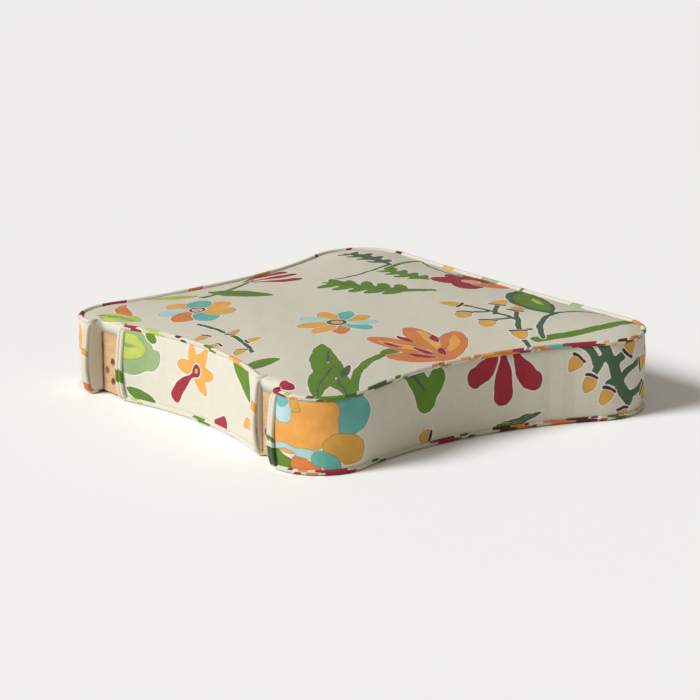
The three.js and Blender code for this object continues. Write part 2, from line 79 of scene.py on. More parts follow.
CAD_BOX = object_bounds()
MM = 0.001
COVER_THICKNESS = 0.0012
SEAM_GAP = 0.0003
LEG_CLEARANCE = 0.001  # between a rear leg's pad and each side of its notch
EDGE_OF_FOAM = COVER_THICKNESS + SEAM_GAP  # the foam slab lies this far inside the band's face
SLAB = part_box("foam_slab")
UPPER_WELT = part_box("upper_welt")
LOWER_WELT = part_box("lower_welt")
LEG_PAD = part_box("left_rear_leg_pad")
DUST_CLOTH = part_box("dust_cloth")
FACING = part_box("underside_facing")
UPPER_Z = (UPPER_WELT[0].z + UPPER_WELT[1].z) / 2
LOWER_Z = (LOWER_WELT[0].z + LOWER_WELT[1].z) / 2
OUTLINE_X = SLAB[0].x - EDGE_OF_FOAM


# ---- Sizes and colours ----------------------------------------------------------------------


def size(name, description, default, low=0.0, high=1.0):
    """A length in metres that a user may change."""
    return FloatProperty(
        name=name, description=description, default=default, min=low, max=high, unit="LENGTH", precision=5
    )


def colour(name, description, default):
    """A colour that a user may change, as linear red, green and blue."""
    return FloatVectorProperty(
        name=name, description=description, default=default, size=3, min=0.0, max=1.0, subtype="COLOR"
    )


class SeatPadCover(bpy.types.PropertyGroup):
    """Sizes of the cover's plan and of its soft form."""

    waist_width: size("Waist width", "Width across the hollow sides", 0.420)
    rear_width: size("Rear width", "Width across the rear lobes", 0.458)
    front_lobe_radius: size("Front lobe radius", "Plan radius of the front corners", 0.061)
    rear_lobe_radius: size("Rear lobe radius", "Plan radius of the rear corners", 0.056)
    front_dip: size("Front dip", "How far the front edge draws in", 0.004)
    rear_dip: size("Rear dip", "How far the rear edge draws in", 0.033)
    crown: size("Crown", "Rise of the top over its edge, before the cover is filled", 0.0065)
    pillow: size("Pillow", "Quick rise of the top beside the welt", 0.0032)
    rear_drop: size("Rear drop", "How far the upper welt sinks at the rear corners", 0.0062)
    top_give: size("Top give", "Most that filling may lift the top", 0.0042)
    band_give: size("Band give", "Most that filling may push the band out", 0.0030)
    band_crown: size("Band crown", "Outward bow of the band over its height", 0.0018)
    notch_swell: size("Notch swell", "How far the band leans out beside the rear legs", 0.0036)
    fill: FloatProperty(
        name="Fill", description="Pressure of the padding against the cover", default=4.0, min=0.0, max=20.0
    )


class SeatPadTrim(bpy.types.PropertyGroup):
    """Sizes of the welts and the staples."""

    welt_radius: size("Welt radius", "Radius of the covered cord", 0.0027)
    welt_inset: size("Welt inset", "Cord's centre inside the band's face", 0.0008)
    double_radius: size("Double welt radius", "Radius of each of the two cords", 0.0024)
    double_bulge: size("Double welt bulge", "How far the cords lean out low on the notch", 0.0048)
    staple_pitch: size("Staple pitch", "From one staple to the next", 0.026, 0.005)
    staple_width: size("Staple width", "Width of a staple's crown", 0.0095)


class SeatPadPalette(bpy.types.PropertyGroup):
    """Inks of the print and the cloth under them."""

    ground: colour("Ground", "Unprinted linen", (0.650, 0.610, 0.505))
    halo: colour("Halo", "White line round each motif", (0.731, 0.688, 0.628))
    orange: colour("Orange", "Large petals", (0.774, 0.361, 0.082))
    terracotta: colour("Terracotta", "Deep petals", (0.636, 0.211, 0.060))
    berry: colour("Berry", "Drops and stamens", (0.331, 0.026, 0.043))
    teal: colour("Teal", "Outer petals", (0.142, 0.430, 0.380))
    sky: colour("Sky", "Pale petals", (0.413, 0.602, 0.585))
    sage: colour("Sage", "Pale leaves", (0.284, 0.404, 0.185))
    green: colour("Green", "Leaves", (0.114, 0.226, 0.024))
    forest: colour("Forest", "Stems and veins", (0.073, 0.125, 0.069))
    lime: colour("Lime", "Young leaves", (0.447, 0.533, 0.112))
    mustard: colour("Mustard", "Buds", (0.671, 0.361, 0.073))
    brown: colour("Brown", "Caps of the buds", (0.099, 0.026, 0.017))


class SeatPadStage(bpy.types.PropertyGroup):
    """Floor, light and camera."""

    floor: colour("Floor", "Colour of the floor", (0.985, 0.985, 0.98))
    azimuth: FloatProperty(
        name="Azimuth", description="Where the camera stands round the pad", default=math.radians(232.1),
        subtype="ANGLE",
    )
    elevation: FloatProperty(
        name="Elevation", description="Camera's angle over the horizon", default=math.radians(15.4),
        subtype="ANGLE",
    )
    distance: size("Distance", "Camera to the pad's middle", 3.03, 0.1, 50.0)
    lens: FloatProperty(name="Lens", description="Focal length in millimetres", default=141.0, min=10.0)
    key: FloatProperty(name="Key light", description="Strength of the key light", default=3.35, min=0.0)
    fill: FloatProperty(name="Fill light", description="Light from all round", default=0.28, min=0.0)


PROPERTY_GROUPS = {
    "seat_pad_cover": SeatPadCover,
    "seat_pad_trim": SeatPadTrim,
    "seat_pad_palette": SeatPadPalette,
    "seat_pad_stage": SeatPadStage,
}
INKS = ("sage", "lime", "green", "forest", "orange", "terracotta", "berry", "teal", "sky", "mustard", "brown")


# ---- Plan of the pad ------------------------------------------------------------------------


def lobe(half_width, edge_y, radius, towards):
    """A corner's convex arc, which touches an edge and, at half_width, the line along its side."""
    return half_width - radius, edge_y - towards * radius, radius, 1.0


def hollow_between(corner, edge_y, dip, towards):
    """The hollow arc between a lobe and its mirror image, drawn in by dip."""
    radius = (corner[0] ** 2 + dip**2) / (2 * dip) - corner[2]
    return 0.0, edge_y - towards * dip + towards * radius, radius, -1.0


def hollow_side(front, rear, waist):
    """The hollow arc of a side: it touches both lobes and passes through the waist."""

    def reach(corner, radius):
        across = waist - corner[0]
        return math.sqrt(2 * radius * (corner[2] - across) + corner[2] ** 2 - across**2)

    low, high = 0.05, 20.0
    for _ in range(60):
        radius = (low + high) / 2
        if reach(front, radius) + reach(rear, radius) > rear[1] - front[1]:
            high = radius
        else:
            low = radius
    return waist + low, front[1] + reach(front, low), low, -1.0


class Plan:
    """The band's outer face, seen from above, by its length from the middle of the rear edge.

    The length grows towards -X, through the front, and comes back along +X.
    """

    STEP = 0.0004

    def __init__(self, cover):
        front_y = SLAB[0].y - EDGE_OF_FOAM
        rear_y = SLAB[1].y + EDGE_OF_FOAM
        front = lobe(SLAB[1].x + EDGE_OF_FOAM, front_y, cover.front_lobe_radius, -1)
        rear = lobe(cover.rear_width / 2, rear_y, cover.rear_lobe_radius, 1)
        self.depth = rear_y - front_y
        side = hollow_side(front, rear, cover.waist_width / 2)

        def mirrored(circle):
            return -circle[0], *circle[1:]

        circles = [
            hollow_between(rear, rear_y, cover.rear_dip, 1),
            mirrored(rear),
            mirrored(side),
            mirrored(front),
            hollow_between(front, front_y, cover.front_dip, -1),
            front,
            side,
            rear,
        ]
        points, normals = [], []
        for i, (x, y, radius, bulge) in enumerate(circles):
            before, after = circles[i - 1], circles[(i + 1) % len(circles)]
            start = math.atan2(before[1] - y, before[0] - x)
            sweep = math.atan2(after[1] - y, after[0] - x) - start
            sweep = sweep % (2 * math.pi) if bulge > 0 else -((-sweep) % (2 * math.pi))
            angles = start + sweep * np.arange(0, 1, self.STEP / (radius * abs(sweep)))
            outward = np.stack([np.cos(angles), np.sin(angles)], -1)
            points.append(np.array([x, y]) + radius * outward)
            normals.append(bulge * outward)
        points, normals = np.concatenate(points), np.concatenate(normals)
        first = int(np.argmin(np.abs(points[:, 0]) + (points[:, 1] < 0)))
        points, normals = np.roll(points, -first, 0), np.roll(normals, -first, 0)
        self.points = np.vstack([points, points[:1]])
        self.normals = np.vstack([normals, normals[:1]])
        steps = np.linalg.norm(np.diff(self.points, axis=0), axis=1)
        self.lengths = np.concatenate([[0.0], np.cumsum(steps)])
        self.girth = self.lengths[-1]
        leg_x = (LEG_PAD[0].x + LEG_PAD[1].x) / 2
        half = (LEG_PAD[1].x - LEG_PAD[0].x) / 2 + LEG_CLEARANCE
        self.notch_floor = LEG_PAD[1].y
        self.notch_x = leg_x - half, leg_x + half
        self.notch_s = tuple(self.rear_length(x) for x in self.notch_x)

    def rear_length(self, x):
        """Length from the rear middle to the rear edge's point at -x."""
        quarter = self.girth / 4
        rear = self.lengths < quarter
        return float(np.interp(x, -self.points[rear, 0], self.lengths[rear]))

    def at(self, length):
        """Points and outward normals at these lengths."""
        s = np.mod(length, self.girth)
        point = [np.interp(s, self.lengths, self.points[:, k]) for k in (0, 1)]
        normal = [np.interp(s, self.lengths, self.normals[:, k]) for k in (0, 1)]
        return np.stack(point, -1), np.stack(normal, -1)

    def inset(self, xy):
        """How far points lie inside the outline."""
        coarse = self.points[::6]
        out = np.empty(len(xy))
        for start in range(0, len(xy), 4000):
            part = xy[start : start + 4000]
            gaps = np.linalg.norm(part[:, None] - coarse[None], axis=2)
            out[start : start + 4000] = gaps.min(1)
        return out

    def notched(self, inset, step):
        """A closed loop drawn in by inset that steps into both rear-leg notches.

        Returns its points and, for each, whether it lies in a notch.
        """
        low, high = self.notch_s
        pieces = []
        for start, end in ((-low, low), (high, self.girth - high)):
            count = max(2, round((end - start) / step))
            point, normal = self.at(np.linspace(start, end, count + 1))
            pieces.append(point - inset * normal)
        rear, long = pieces
        inner, outer = self.notch_x
        floor = self.notch_floor
        across = np.linspace(0, 1, 6)[:, None]

        def notch(side):
            near = np.array([side * inner, floor])
            far = np.array([side * outer, floor])
            return near + (far - near) * across

        parts = (rear, notch(-1), long, notch(1)[::-1])
        in_notch = [np.full(len(part), part is not rear and part is not long) for part in parts]
        return np.vstack(parts), np.concatenate(in_notch)


SETTLE_BEHIND = 0.038  # the middle of the drop, in front of the foam's rear edge
SETTLE_SPREAD = 0.070


def settle(co, cover):
    """Lowers the rear corners of the cover, in proportion to the height over the lower welt."""
    away = (np.abs(co[:, 0]) - cover.rear_width / 2) ** 2 + (co[:, 1] - (SLAB[1].y - SETTLE_BEHIND)) ** 2
    share = np.clip((co[:, 2] - LOWER_Z) / (UPPER_Z - LOWER_Z), 0, 1)
    out = co.copy()
    out[:, 2] -= cover.rear_drop * np.exp(-away / (2 * SETTLE_SPREAD**2)) * share
    return out


# ---- The print ------------------------------------------------------------------------------

RIM = 0.8  # width of the darker line along a motif's edge, in millimetres of cloth
HALO = 1.5  # width of the white line round a motif, in millimetres of cloth
SEAM = -0.25  # two inks that touch, with no white line between them
REACH = 7.0  # distances past this many millimetres from an ink's edge are cut off
BROAD_PITCH, BROAD_DRIFT = 21.0, 1.5  # the hand-drawn wander of every edge, in millimetres
FINE_PITCH, FINE_DRIFT = 9.0, 0.5


def leaf_width(t):
    return np.sin(np.pi * np.clip(t, 0, 1)) ** 0.85


def drop_width(t):
    return 0.34 + 0.66 * np.sin(0.5 * np.pi * np.clip((t - 0.15) / 0.7, 0, 1)) ** 1.6


def petal_width(t):
    return np.sin(np.pi * np.clip(0.12 + 0.74 * t, 0, 1)) ** 0.7


def stem_width(t):
    return np.ones_like(t)


def bud_width(t):
    return np.clip(1.0 - 0.55 * t**2, 0.3, 1.0)


class Cloth:
    """Flat cloth with one signed distance, in millimetres, from each ink's edge at every point."""

    def __init__(self, flat):
        flat = np.asarray(flat, float)
        self.flat = flat
        broad = np.stack([smooth_noise(flat, BROAD_PITCH, seed) for seed in (71, 72)], -1)
        fine = np.stack([smooth_noise(flat, FINE_PITCH, seed) for seed in (73, 74)], -1)
        self.points = flat + (broad * BROAD_DRIFT + fine * FINE_DRIFT)
        self.ink = {name: np.full(len(flat), REACH) for name in INKS}
        self.any = np.full(len(flat), REACH)

    def lay(self, name, near, distance, halo):
        """Prints a shape, and clears the inks under it as far as its halo."""
        for other, field in self.ink.items():
            if other != name:
                field[near] = np.maximum(field[near], halo - distance)
        self.ink[name][near] = np.minimum(self.ink[name][near], distance)
        self.any[near] = np.minimum(self.any[near], distance)

    def stroke(self, name, start, end, width, bend=0.0, shape=stem_width, halo=HALO):
        """A brush stroke from start to end, bent sideways, as wide as shape says along it."""
        start, end = np.array(start, float), np.array(end, float)
        along = end - start
        length = max(np.linalg.norm(along), 1e-6)
        side = np.array([-along[1], along[0]]) / length
        middle = (start + end) / 2 + 2 * bend * side
        t = np.linspace(0, 1, max(7, int(length / 1.6)))[:, None]
        spine = (1 - t) ** 2 * start + 2 * t * (1 - t) * middle + t**2 * end
        half = width / 2 * shape(t[:, 0])
        margin = width / 2 + REACH + 1
        low, high = spine.min(0) - margin, spine.max(0) + margin
        near = np.flatnonzero(((self.points > low) & (self.points < high)).all(1))
        if not len(near):
            return
        points = self.points[near]
        distance = np.full(len(near), 1e9)
        for centre, radius in zip(spine, half):
            distance = np.minimum(distance, np.hypot(*(points - centre).T) - radius)
        keep = distance < REACH
        self.lay(name, near[keep], distance[keep], halo)

    def inlay(self, name, start, end, width, bend=0.0):
        """A stroke that touches what lies round it, with no white line between them."""
        self.stroke(name, start, end, width, bend, stem_width, SEAM)

    def spot(self, name, centre, width, halo=HALO):
        self.stroke(name, centre, np.add(centre, 0.01), width, 0.0, stem_width, halo)

    def patch(self, name, low, high, slant=0.7, halo=0.4):
        """Prints everything between two lengths, cut on the bias: for the narrow cloth of a cord."""
        along = self.points[:, 0] + slant * self.points[:, 1]
        distance = np.clip(np.maximum(low - along, along - high), -REACH, REACH)
        self.lay(name, np.arange(len(along)), distance, halo)

    def store(self, mesh):
        """Keeps the distances on the mesh, for the material to read."""
        fields = {f"ink_{name}": field for name, field in self.ink.items()}
        fields["ink_any"] = self.any
        for name, field in fields.items():
            attribute = mesh.attributes.new(name, "FLOAT", "POINT")
            attribute.data.foreach_set("value", np.clip(field, -REACH, REACH).astype(np.float32))
        flat = mesh.attributes.new("cloth", "FLOAT_VECTOR", "POINT")
        place = np.zeros((len(self.points), 3), np.float32)
        place[:, :2] = self.flat * MM
        flat.data.foreach_set("vector", place.ravel())


def turned(centre, angle, reach):
    """The point at a distance from centre, at an angle in degrees."""
    turn = math.radians(angle)
    return centre[0] + reach * math.cos(turn), centre[1] + reach * math.sin(turn)


def veined_leaf(cloth, base, tip, width, bend=0.0, ink="green", vein="forest"):
    """A pointed leaf with a thin vein along most of it."""
    cloth.stroke(ink, base, tip, width, bend, leaf_width)
    short = np.array(base) + (np.array(tip) - np.array(base)) * 0.82
    cloth.stroke(vein, base, short, width * 0.09, bend * 0.8, stem_width, 0.0)


def toothed_leaf(cloth, base, tip, width, bend, ink, teeth):
    """A broad leaf with rounded lobes along both edges."""
    cloth.stroke(ink, base, tip, width * 0.55, bend, leaf_width)
    base, tip = np.array(base, float), np.array(tip, float)
    along = tip - base
    length = np.linalg.norm(along)
    side = np.array([-along[1], along[0]]) / length
    for i in range(teeth):
        t = 0.2 + 0.62 * i / (teeth - 1)
        root = base + along * t + side * bend * 4 * t * (1 - t)
        out = width * (0.62 - 0.42 * abs(t - 0.45))
        for sign in (-1, 1):
            end = root + sign * side * out + along / length * width * 0.30
            cloth.stroke(ink, root, end, width * 0.34, 0.0, petal_width)
    cloth.stroke("forest", base, base + along * 0.8, width * 0.07, bend * 0.8, stem_width, 0.0)


def blossom(cloth, centre, reach, petals, heart="berry", turn=0.0, slim=0.72):
    """A round flower whose petals take the given inks in turn."""
    width = 2 * math.pi * reach * slim / len(petals)
    for i, ink in enumerate(petals):
        angle = turn + 360.0 * i / len(petals)
        root, tip = turned(centre, angle, reach * 0.3), turned(centre, angle, reach * 0.78)
        cloth.stroke(ink, root, tip, width, 0.0, petal_width, HALO * 0.8)
    cloth.spot(heart, centre, reach * 0.42)
    cloth.spot("mustard", centre, reach * 0.2)


def bud(cloth, base, angle, length=17.0, width=15.0):
    """A mustard bud in a brown cap."""
    root, tip = turned(base, angle, length * 0.22), turned(base, angle, length * 0.72)
    cloth.stroke("mustard", root, tip, width, 0.0, bud_width)
    left, right = turned(base, angle + 90, width * 0.46), turned(base, angle - 90, width * 0.46)
    cloth.stroke("brown", left, right, width * 0.24, -width * 0.06, stem_width, HALO * 0.6)


def buds(cloth, length, width, *places):
    """Buds of one size, each with its base's x and y and its angle."""
    for x, y, angle in places:
        bud(cloth, (x, y), angle, length, width)


def drops(cloth, roots, tips, width):
    """Three berry petals that hang side by side."""
    for root, tip, bend in zip(roots, tips, (5.0, 0.0, -5.0)):
        cloth.stroke("berry", root, tip, width, bend, drop_width)


def print_top(cloth):
    """The motifs of the top panel, on its own X and Y."""
    # leaves at the right rear corner
    cloth.stroke("green", (-226, 168), (-158, 62), 9, 17)
    cloth.stroke("green", (-166, 92), (-155, 62), 13, 2, drop_width)
    veined_leaf(cloth, (-232, 178), (-96, 112), 34, 9)
    veined_leaf(cloth, (-218, 212), (-146, 128), 26, 6)
    cloth.stroke("forest", (-190, 158), (-164, 128), 9, 0, leaf_width, 0.0)
    # small dark berry petal: part print, part painted shadow where a backrest's shadow darkens this rear
    # corner
    cloth.stroke("berry", (-186, 216), (-158, 208), 14, 3, leaf_width)
    # large flower by the waist
    flower = (-196, 26)
    for angle, reach, width in ((62, 56, 26), (22, 84, 34), (-14, 86, 34), (-48, 70, 34)):
        cloth.stroke("terracotta", flower, turned(flower, angle, reach), width, 0, petal_width, 0.5)
    for root, tip, width, bend in (((8, 22), (24, 78), 13, 3), ((-20, 22), (-18, 80), 13, -3),
                                   ((-50, 20), (-48, 64), 12, -3)):
        cloth.stroke("orange", turned(flower, *root), turned(flower, *tip), width, bend, petal_width, 0.0)
    for angle, first, last, width in ((50, 8, 40, 9), (18, 10, 42, 8), (2, 50, 78, 8), (26, 48, 74, 7),
                                      (-28, 40, 66, 8), (-32, 6, 26, 9)):
        start, end = turned(flower, angle, first), turned(flower, angle, last)
        cloth.stroke("berry", start, end, width, 2, leaf_width, 0.4)
    # sprig of buds in front of it
    cloth.stroke("forest", (-236, -66), (-150, -114), 6, 7)
    cloth.stroke("forest", (-152, -114), (-66, -104), 5, -5)
    for base, angle, root in (((-176, -92), 150, (-180, -106)), ((-130, -88), 135, (-138, -112)),
                              ((-92, -88), 132, (-104, -108)), ((-66, -102), 32, (-76, -105)),
                              ((-118, -138), -62, (-150, -114)), ((-86, -140), -58, (-116, -110))):
        cloth.stroke("forest", root, base, 6, 0, stem_width, 0.6)
        bud(cloth, base, angle, 29, 19)
    # green ribbon and dark stem towards the corner
    for row in (
        ("green", (-206, -92), (-208, -236), 14, -10), ("forest", (-206, -100), (-150, -166), 6.5, 8),
        ("forest", (-150, -166), (-178, -238), 5.5, 14),
        ("forest", (-150, -164), (-30, -224), 50, 8, leaf_width),
        ("green", (-140, -170), (-40, -220), 38, 7, leaf_width, SEAM),
        ("lime", (-112, -187), (-70, -207), 9, 3, leaf_width, SEAM),
    ):
        cloth.stroke(*row)
    # striped flower in the middle
    centre = (-44, 52)
    for angle, ink in ((150, "terracotta"), (112, "orange"), (200, "teal"), (235, "sky"), (268, "mustard"),
                       (305, "teal"), (345, "orange"), (28, "sky"), (70, "mustard")):
        cloth.stroke(ink, turned(centre, angle, 12), turned(centre, angle, 40), 21, 0, petal_width)
    cloth.spot("forest", centre, 22)
    cloth.spot("orange", centre, 11, 0.8)
    # feathered leaves over the left half
    cloth.stroke("green", (6, -122), (104, -60), 10, 16)
    toothed_leaf(cloth, (4, -112), (112, -44), 44, 9, "green", 5)
    cloth.stroke("forest", (112, -70), (142, -170), 4.5, -7)
    toothed_leaf(cloth, (46, -160), (122, -146), 30, 5, "green", 4)
    cloth.stroke("green", (118, -146), (158, -236), 7, 5)
    toothed_leaf(cloth, (136, -168), (230, -166), 30, -6, "forest", 4)
    # flat flower at the front edge
    blossom(cloth, (30, -200), 46, ("berry", "berry", "terracotta", "berry", "berry"), "mustard", 60, 0.66)
    cloth.stroke("forest", (64, -212), (150, -226), 4, 8)
    # left side and rear, behind the backrest
    cloth.stroke("green", (236, -40), (150, 92), 8, 18)
    veined_leaf(cloth, (176, 66), (96, 32), 32, -6)
    veined_leaf(cloth, (160, 88), (214, 128), 28, 6, "lime", "green")
    petals = ("orange", "sky", "terracotta", "teal", "mustard", "orange", "teal")
    blossom(cloth, (104, 132), 46, petals, "berry", 12)
    cloth.stroke("forest", (60, 160), (-60, 176), 5, 9)
    buds(cloth, 20, 13, (24, 176, 100), (-10, 184, 82), (-44, 178, 120), (6, 158, -70), (-28, 160, -98))
    drops(cloth, [(196, 4), (190, 0), (182, 0)], [(204, -56), (178, -50), (150, -36)], 17)
    veined_leaf(cloth, (182, 214), (120, 196), 24, 4, "lime", "green")
    cloth.stroke("terracotta", (150, 190), (196, 168), 15, 6, petal_width)
    veined_leaf(cloth, (-96, 214), (-104, 172), 22, 4)


def print_band(cloth):
    """The motifs of the boxing band: length from the rear middle, towards -X, and height."""
    # rear, between the legs
    for row in (
        ("sage", (-150, 66), (-84, 58), 54, -4, leaf_width),
        ("sage", (-104, 46), (-72, 62), 24, -4, leaf_width),
        ("lime", (-142, 70), (-92, 62), 30, -3, leaf_width, SEAM),
        ("sage", (-136, 68), (-104, 64), 4, -2, leaf_width, SEAM),
        ("green", (-92, 86), (-76, 74), 12, -3, leaf_width),
    ):
        cloth.stroke(*row)
    for tip in ((-38, 56), (-20, 77), (6, 76), (18, 54), (6, 34)):
        cloth.stroke("orange", (-9, 54), tip, 17, 0, petal_width)
    cloth.stroke("berry", (-16, 50), (-34, 34), 8, 1, drop_width)
    cloth.stroke("berry", (-10, 50), (-46, 18), 15, -4, drop_width)
    cloth.spot("berry", (-9, 54), 14)
    cloth.spot("mustard", (-9, 54), 6, SEAM)
    veined_leaf(cloth, (-78, 4), (-122, 15), 15, 3)
    for row in (
        ("berry", (24, 4), (44, 12), 17, -4, petal_width),
        ("green", (60, 84), (112, 50), 24, 6, leaf_width),
        ("orange", (92, 20), (128, 26), 14, 3, petal_width),
    ):
        cloth.stroke(*row)
    # large flower on the right rear lobe
    cloth.stroke("green", (166, 52), (172, 42), 15, 0)
    cloth.stroke("teal", (250, 64), (268, 62), 42, 0)
    for row in (
        ("teal", (234, 50), (262, 44), 15, -3), ("orange", (184, 42), (198, 36), 36),
        ("orange", (196, 54), (226, 52), 46), ("orange", (206, 66), (236, 69), 28),
        ("orange", (206, 38), (220, 37), 28), ("mustard", (248, 27), (264, 22), 33, 2),
        ("green", (178, 22), (206, 4), 16, -5), ("terracotta", (208, 10), (222, 2), 19),
        ("sky", (182, 26), (214, 20), 7, 3), ("sky", (208, 22), (232, 14), 11, 3),
        ("teal", (230, 16), (244, 0), 18, 4), ("mustard", (200, 78), (205, 70), 9),
        ("sky", (186, 84), (191, 62), 20), ("teal", (186, 84), (189, 77), 15),
        ("sky", (214, 84), (228, 84), 10),
    ):
        cloth.inlay(*row)
    cloth.stroke("orange", (164, 22), (170, 4), 17, 0)
    # tulip leaf on the waist
    for row in (
        ("green", (350, 92), (370, 56), 23, 3), ("green", (372, 56), (391, 71), 22, -4),
        ("green", (371, 62), (375, 50), 27, 0), ("green", (375, 50), (376, 43), 16, 0),
        ("forest", (352, 84), (373, 62), 4, 1, stem_width, 0.0),
    ):
        cloth.stroke(*row)
    bud(cloth, (382, 7), 160, 19, 16)
    # hanging berry petals
    drops(cloth, [(470, 90), (478, 90), (492, 90)], [(442, 62), (476, 38), (512, 50)], 23)
    for row in (
        ("berry", (478, 40), (482, 35), 8), ("forest", (454, 1), (526, 15), 10, -3, leaf_width),
        ("green", (470, 4), (512, 11), 3, -2, stem_width, 0.0),
    ):
        cloth.stroke(*row)
    # branch of buds on the right front lobe
    for row in (
        ("forest", (588, 90), (606, 56), 12, 0), ("forest", (604, 60), (626, 16), 13, -3),
        ("forest", (566, 84), (584, 62), 8, 5), ("forest", (590, 66), (584, 52), 9, 0),
        ("forest", (612, 44), (600, 38), 9, 0), ("forest", (606, 60), (618, 70), 10, 0),
        ("forest", (616, 44), (646, 58), 8, 3), ("forest", (622, 24), (650, 30), 9, -3),
    ):
        cloth.stroke(*row)
    buds(cloth, 21, 16, (566, 70, 232), (580, 48, 250), (600, 32, 245), (622, 70, 52), (644, 52, 8),
         (652, 24, -48), (618, 8, -90), (664, 62, 20))
    # front
    cloth.stroke("green", (706, 92), (734, 6), 12, 10)
    veined_leaf(cloth, (722, 40), (776, 54), 27, -5)
    blossom(cloth, (826, 42), 36, ("orange", "mustard", "terracotta", "orange", "teal", "sky"), "berry", 20)
    cloth.stroke("forest", (870, 84), (964, 4), 6, 12)
    buds(cloth, 20, 15, (884, 62, 200), (908, 50, 235), (934, 34, 245), (912, 66, 60), (942, 46, 40))
    veined_leaf(cloth, (972, 10), (1030, 60), 28, 6, "lime", "green")
    drops(cloth, [(1078, 90), (1086, 90), (1096, 90)], [(1052, 60), (1082, 36), (1114, 52)], 22)
    # left side
    cloth.stroke("forest", (1142, 1), (1206, 22), 10, 3, leaf_width)
    blossom(cloth, (1238, 58), 30, ("terracotta", "orange", "berry", "orange", "terracotta"), "forest", 40)
    cloth.stroke("green", (1288, 88), (1330, 6), 10, 9)
    veined_leaf(cloth, (1308, 44), (1372, 60), 30, -5)
    for row in (
        ("sky", (1392, 18), (1430, 12), 18, 3, petal_width),
        ("mustard", (1400, 36), (1440, 34), 20, 3, petal_width),
        ("teal", (1398, 56), (1436, 60), 22, 3, petal_width),
    ):
        cloth.stroke(*row)
    cloth.spot("berry", (1390, 38), 18)
    cloth.stroke("forest", (1462, 92), (1500, 20), 7, -7)
    buds(cloth, 20, 15, (1468, 62, 210), (1484, 40, 230), (1494, 66, 30), (1508, 44, 10))
    veined_leaf(cloth, (1530, 78), (1588, 20), 30, 5)
    cloth.stroke("orange", (1600, 62), (1640, 56), 34, 3, petal_width)
    cloth.stroke("berry", (1606, 60), (1630, 57), 8, 0, leaf_width, 0.0)


# ink, start and end of the coloured stretches of the welts, in millimetres of length
UPPER_PATCHES = (
    ("sky", 172, 178), ("berry", 180, 200), ("mustard", 205, 211), ("forest", 230, 238),
    ("green", 238, 268), ("forest", 268, 282), ("forest", 300, 330), ("green", 344, 352),
    ("terracotta", 398, 414), ("green", 406, 410), ("orange", 436, 448), ("terracotta", 452, 500),
    ("orange", 462, 476), ("berry", 500, 514), ("teal", 517, 521), ("terracotta", 524, 540),
    ("teal", 540, 560), ("berry", 560, 598), ("mustard", 606, 612), ("brown", 622, 634),
    ("terracotta", 640, 652), ("forest", 668, 676),
)
LOWER_PATCHES = (
    ("berry", 208, 214), ("terracotta", 220, 232), ("berry", 238, 272), ("forest", 306, 318),
    ("berry", 396, 428), ("forest", 436, 446), ("brown", 476, 522), ("terracotta", 500, 516),
    ("terracotta", 538, 566), ("brown", 566, 592), ("berry", 594, 602), ("lime", 606, 612),
    ("forest", 612, 630), ("lime", 626, 632),
)
REAR_UPPER_PATCHES = (("berry", -110, -92), ("lime", -84, -58), ("brown", -32, -22), ("green", 18, 34),
                      ("orange", 70, 96))
REAR_LOWER_PATCHES = (("lime", -102, -92), ("green", -4, 18), ("sky", 60, 70))


def scattered_patches(first, last, seed):
    """Coloured stretches for the cord where nothing calls for a given one."""
    random = np.random.default_rng(seed)
    at = first
    while at < last:
        length = random.uniform(6, 30)
        yield INKS[random.integers(len(INKS))], at, min(at + length, last)
        at += length + random.uniform(25, 105)


# ---- Shader groups and materials --------------------------------------------------------------


class Nodes:
    """A node tree and short calls to fill it."""

    def __init__(self, tree):
        self.tree = tree

    def add(self, kind, settings=None, **inputs):
        node = self.tree.nodes.new(kind)
        for name, value in (settings or {}).items():
            setattr(node, name, value)
        for name, value in inputs.items():
            self.put(node.inputs[name.replace("_", " ")], value)
        return node

    def put(self, socket, value):
        if isinstance(value, bpy.types.NodeSocket):
            self.tree.links.new(value, socket)
        elif value is not None:
            socket.default_value = value

    def math(self, operation, *values, clamp=False):
        node = self.add("ShaderNodeMath", {"operation": operation, "use_clamp": clamp})
        for socket, value in zip(node.inputs, values):
            self.put(socket, value)
        return node.outputs[0]

    def times(self, *values):
        return self.math("MULTIPLY", *values)

    def plus(self, *values, clamp=False):
        return self.math("ADD", *values, clamp=clamp)

    def mix(self, factor, first, second):
        """Blends two colours."""
        node = self.add("ShaderNodeMix", {"data_type": "RGBA"}, Factor=factor)
        ends = [socket for socket in node.inputs if socket.type == "RGBA"]
        self.put(ends[0], first)
        self.put(ends[1], second)
        return [socket for socket in node.outputs if socket.type == "RGBA"][0]

    def noise(self, vector, scale, detail=2.0, roughness=0.5):
        settings = {"Scale": scale, "Detail": detail, "Roughness": roughness, "Vector": vector}
        return self.add("ShaderNodeTexNoise", **settings).outputs["Fac"]

    def scaled(self, vector, factors):
        node = self.add("ShaderNodeVectorMath", {"operation": "MULTIPLY"})
        self.put(node.inputs[0], vector)
        self.put(node.inputs[1], factors)
        return node.outputs[0]

    def attribute(self, name, output="Fac"):
        return self.add("ShaderNodeAttribute", {"attribute_name": name}).outputs[output]


def shader_group(name, inputs, outputs):
    """An empty shader group with named sockets. Returns its nodes, inputs and outputs."""
    tree = bpy.data.node_groups.new(name, "ShaderNodeTree")
    for socket, (kind, default) in inputs.items():
        made = tree.interface.new_socket(name=socket, in_out="INPUT", socket_type=kind)
        if default is not None:
            made.default_value = default
    for socket, kind in outputs.items():
        tree.interface.new_socket(name=socket, in_out="OUTPUT", socket_type=kind)
    nodes = Nodes(tree)
    return nodes, nodes.add("NodeGroupInput").outputs, nodes.add("NodeGroupOutput").inputs


FLOAT, COLOUR, VECTOR = "NodeSocketFloat", "NodeSocketColor", "NodeSocketVector"


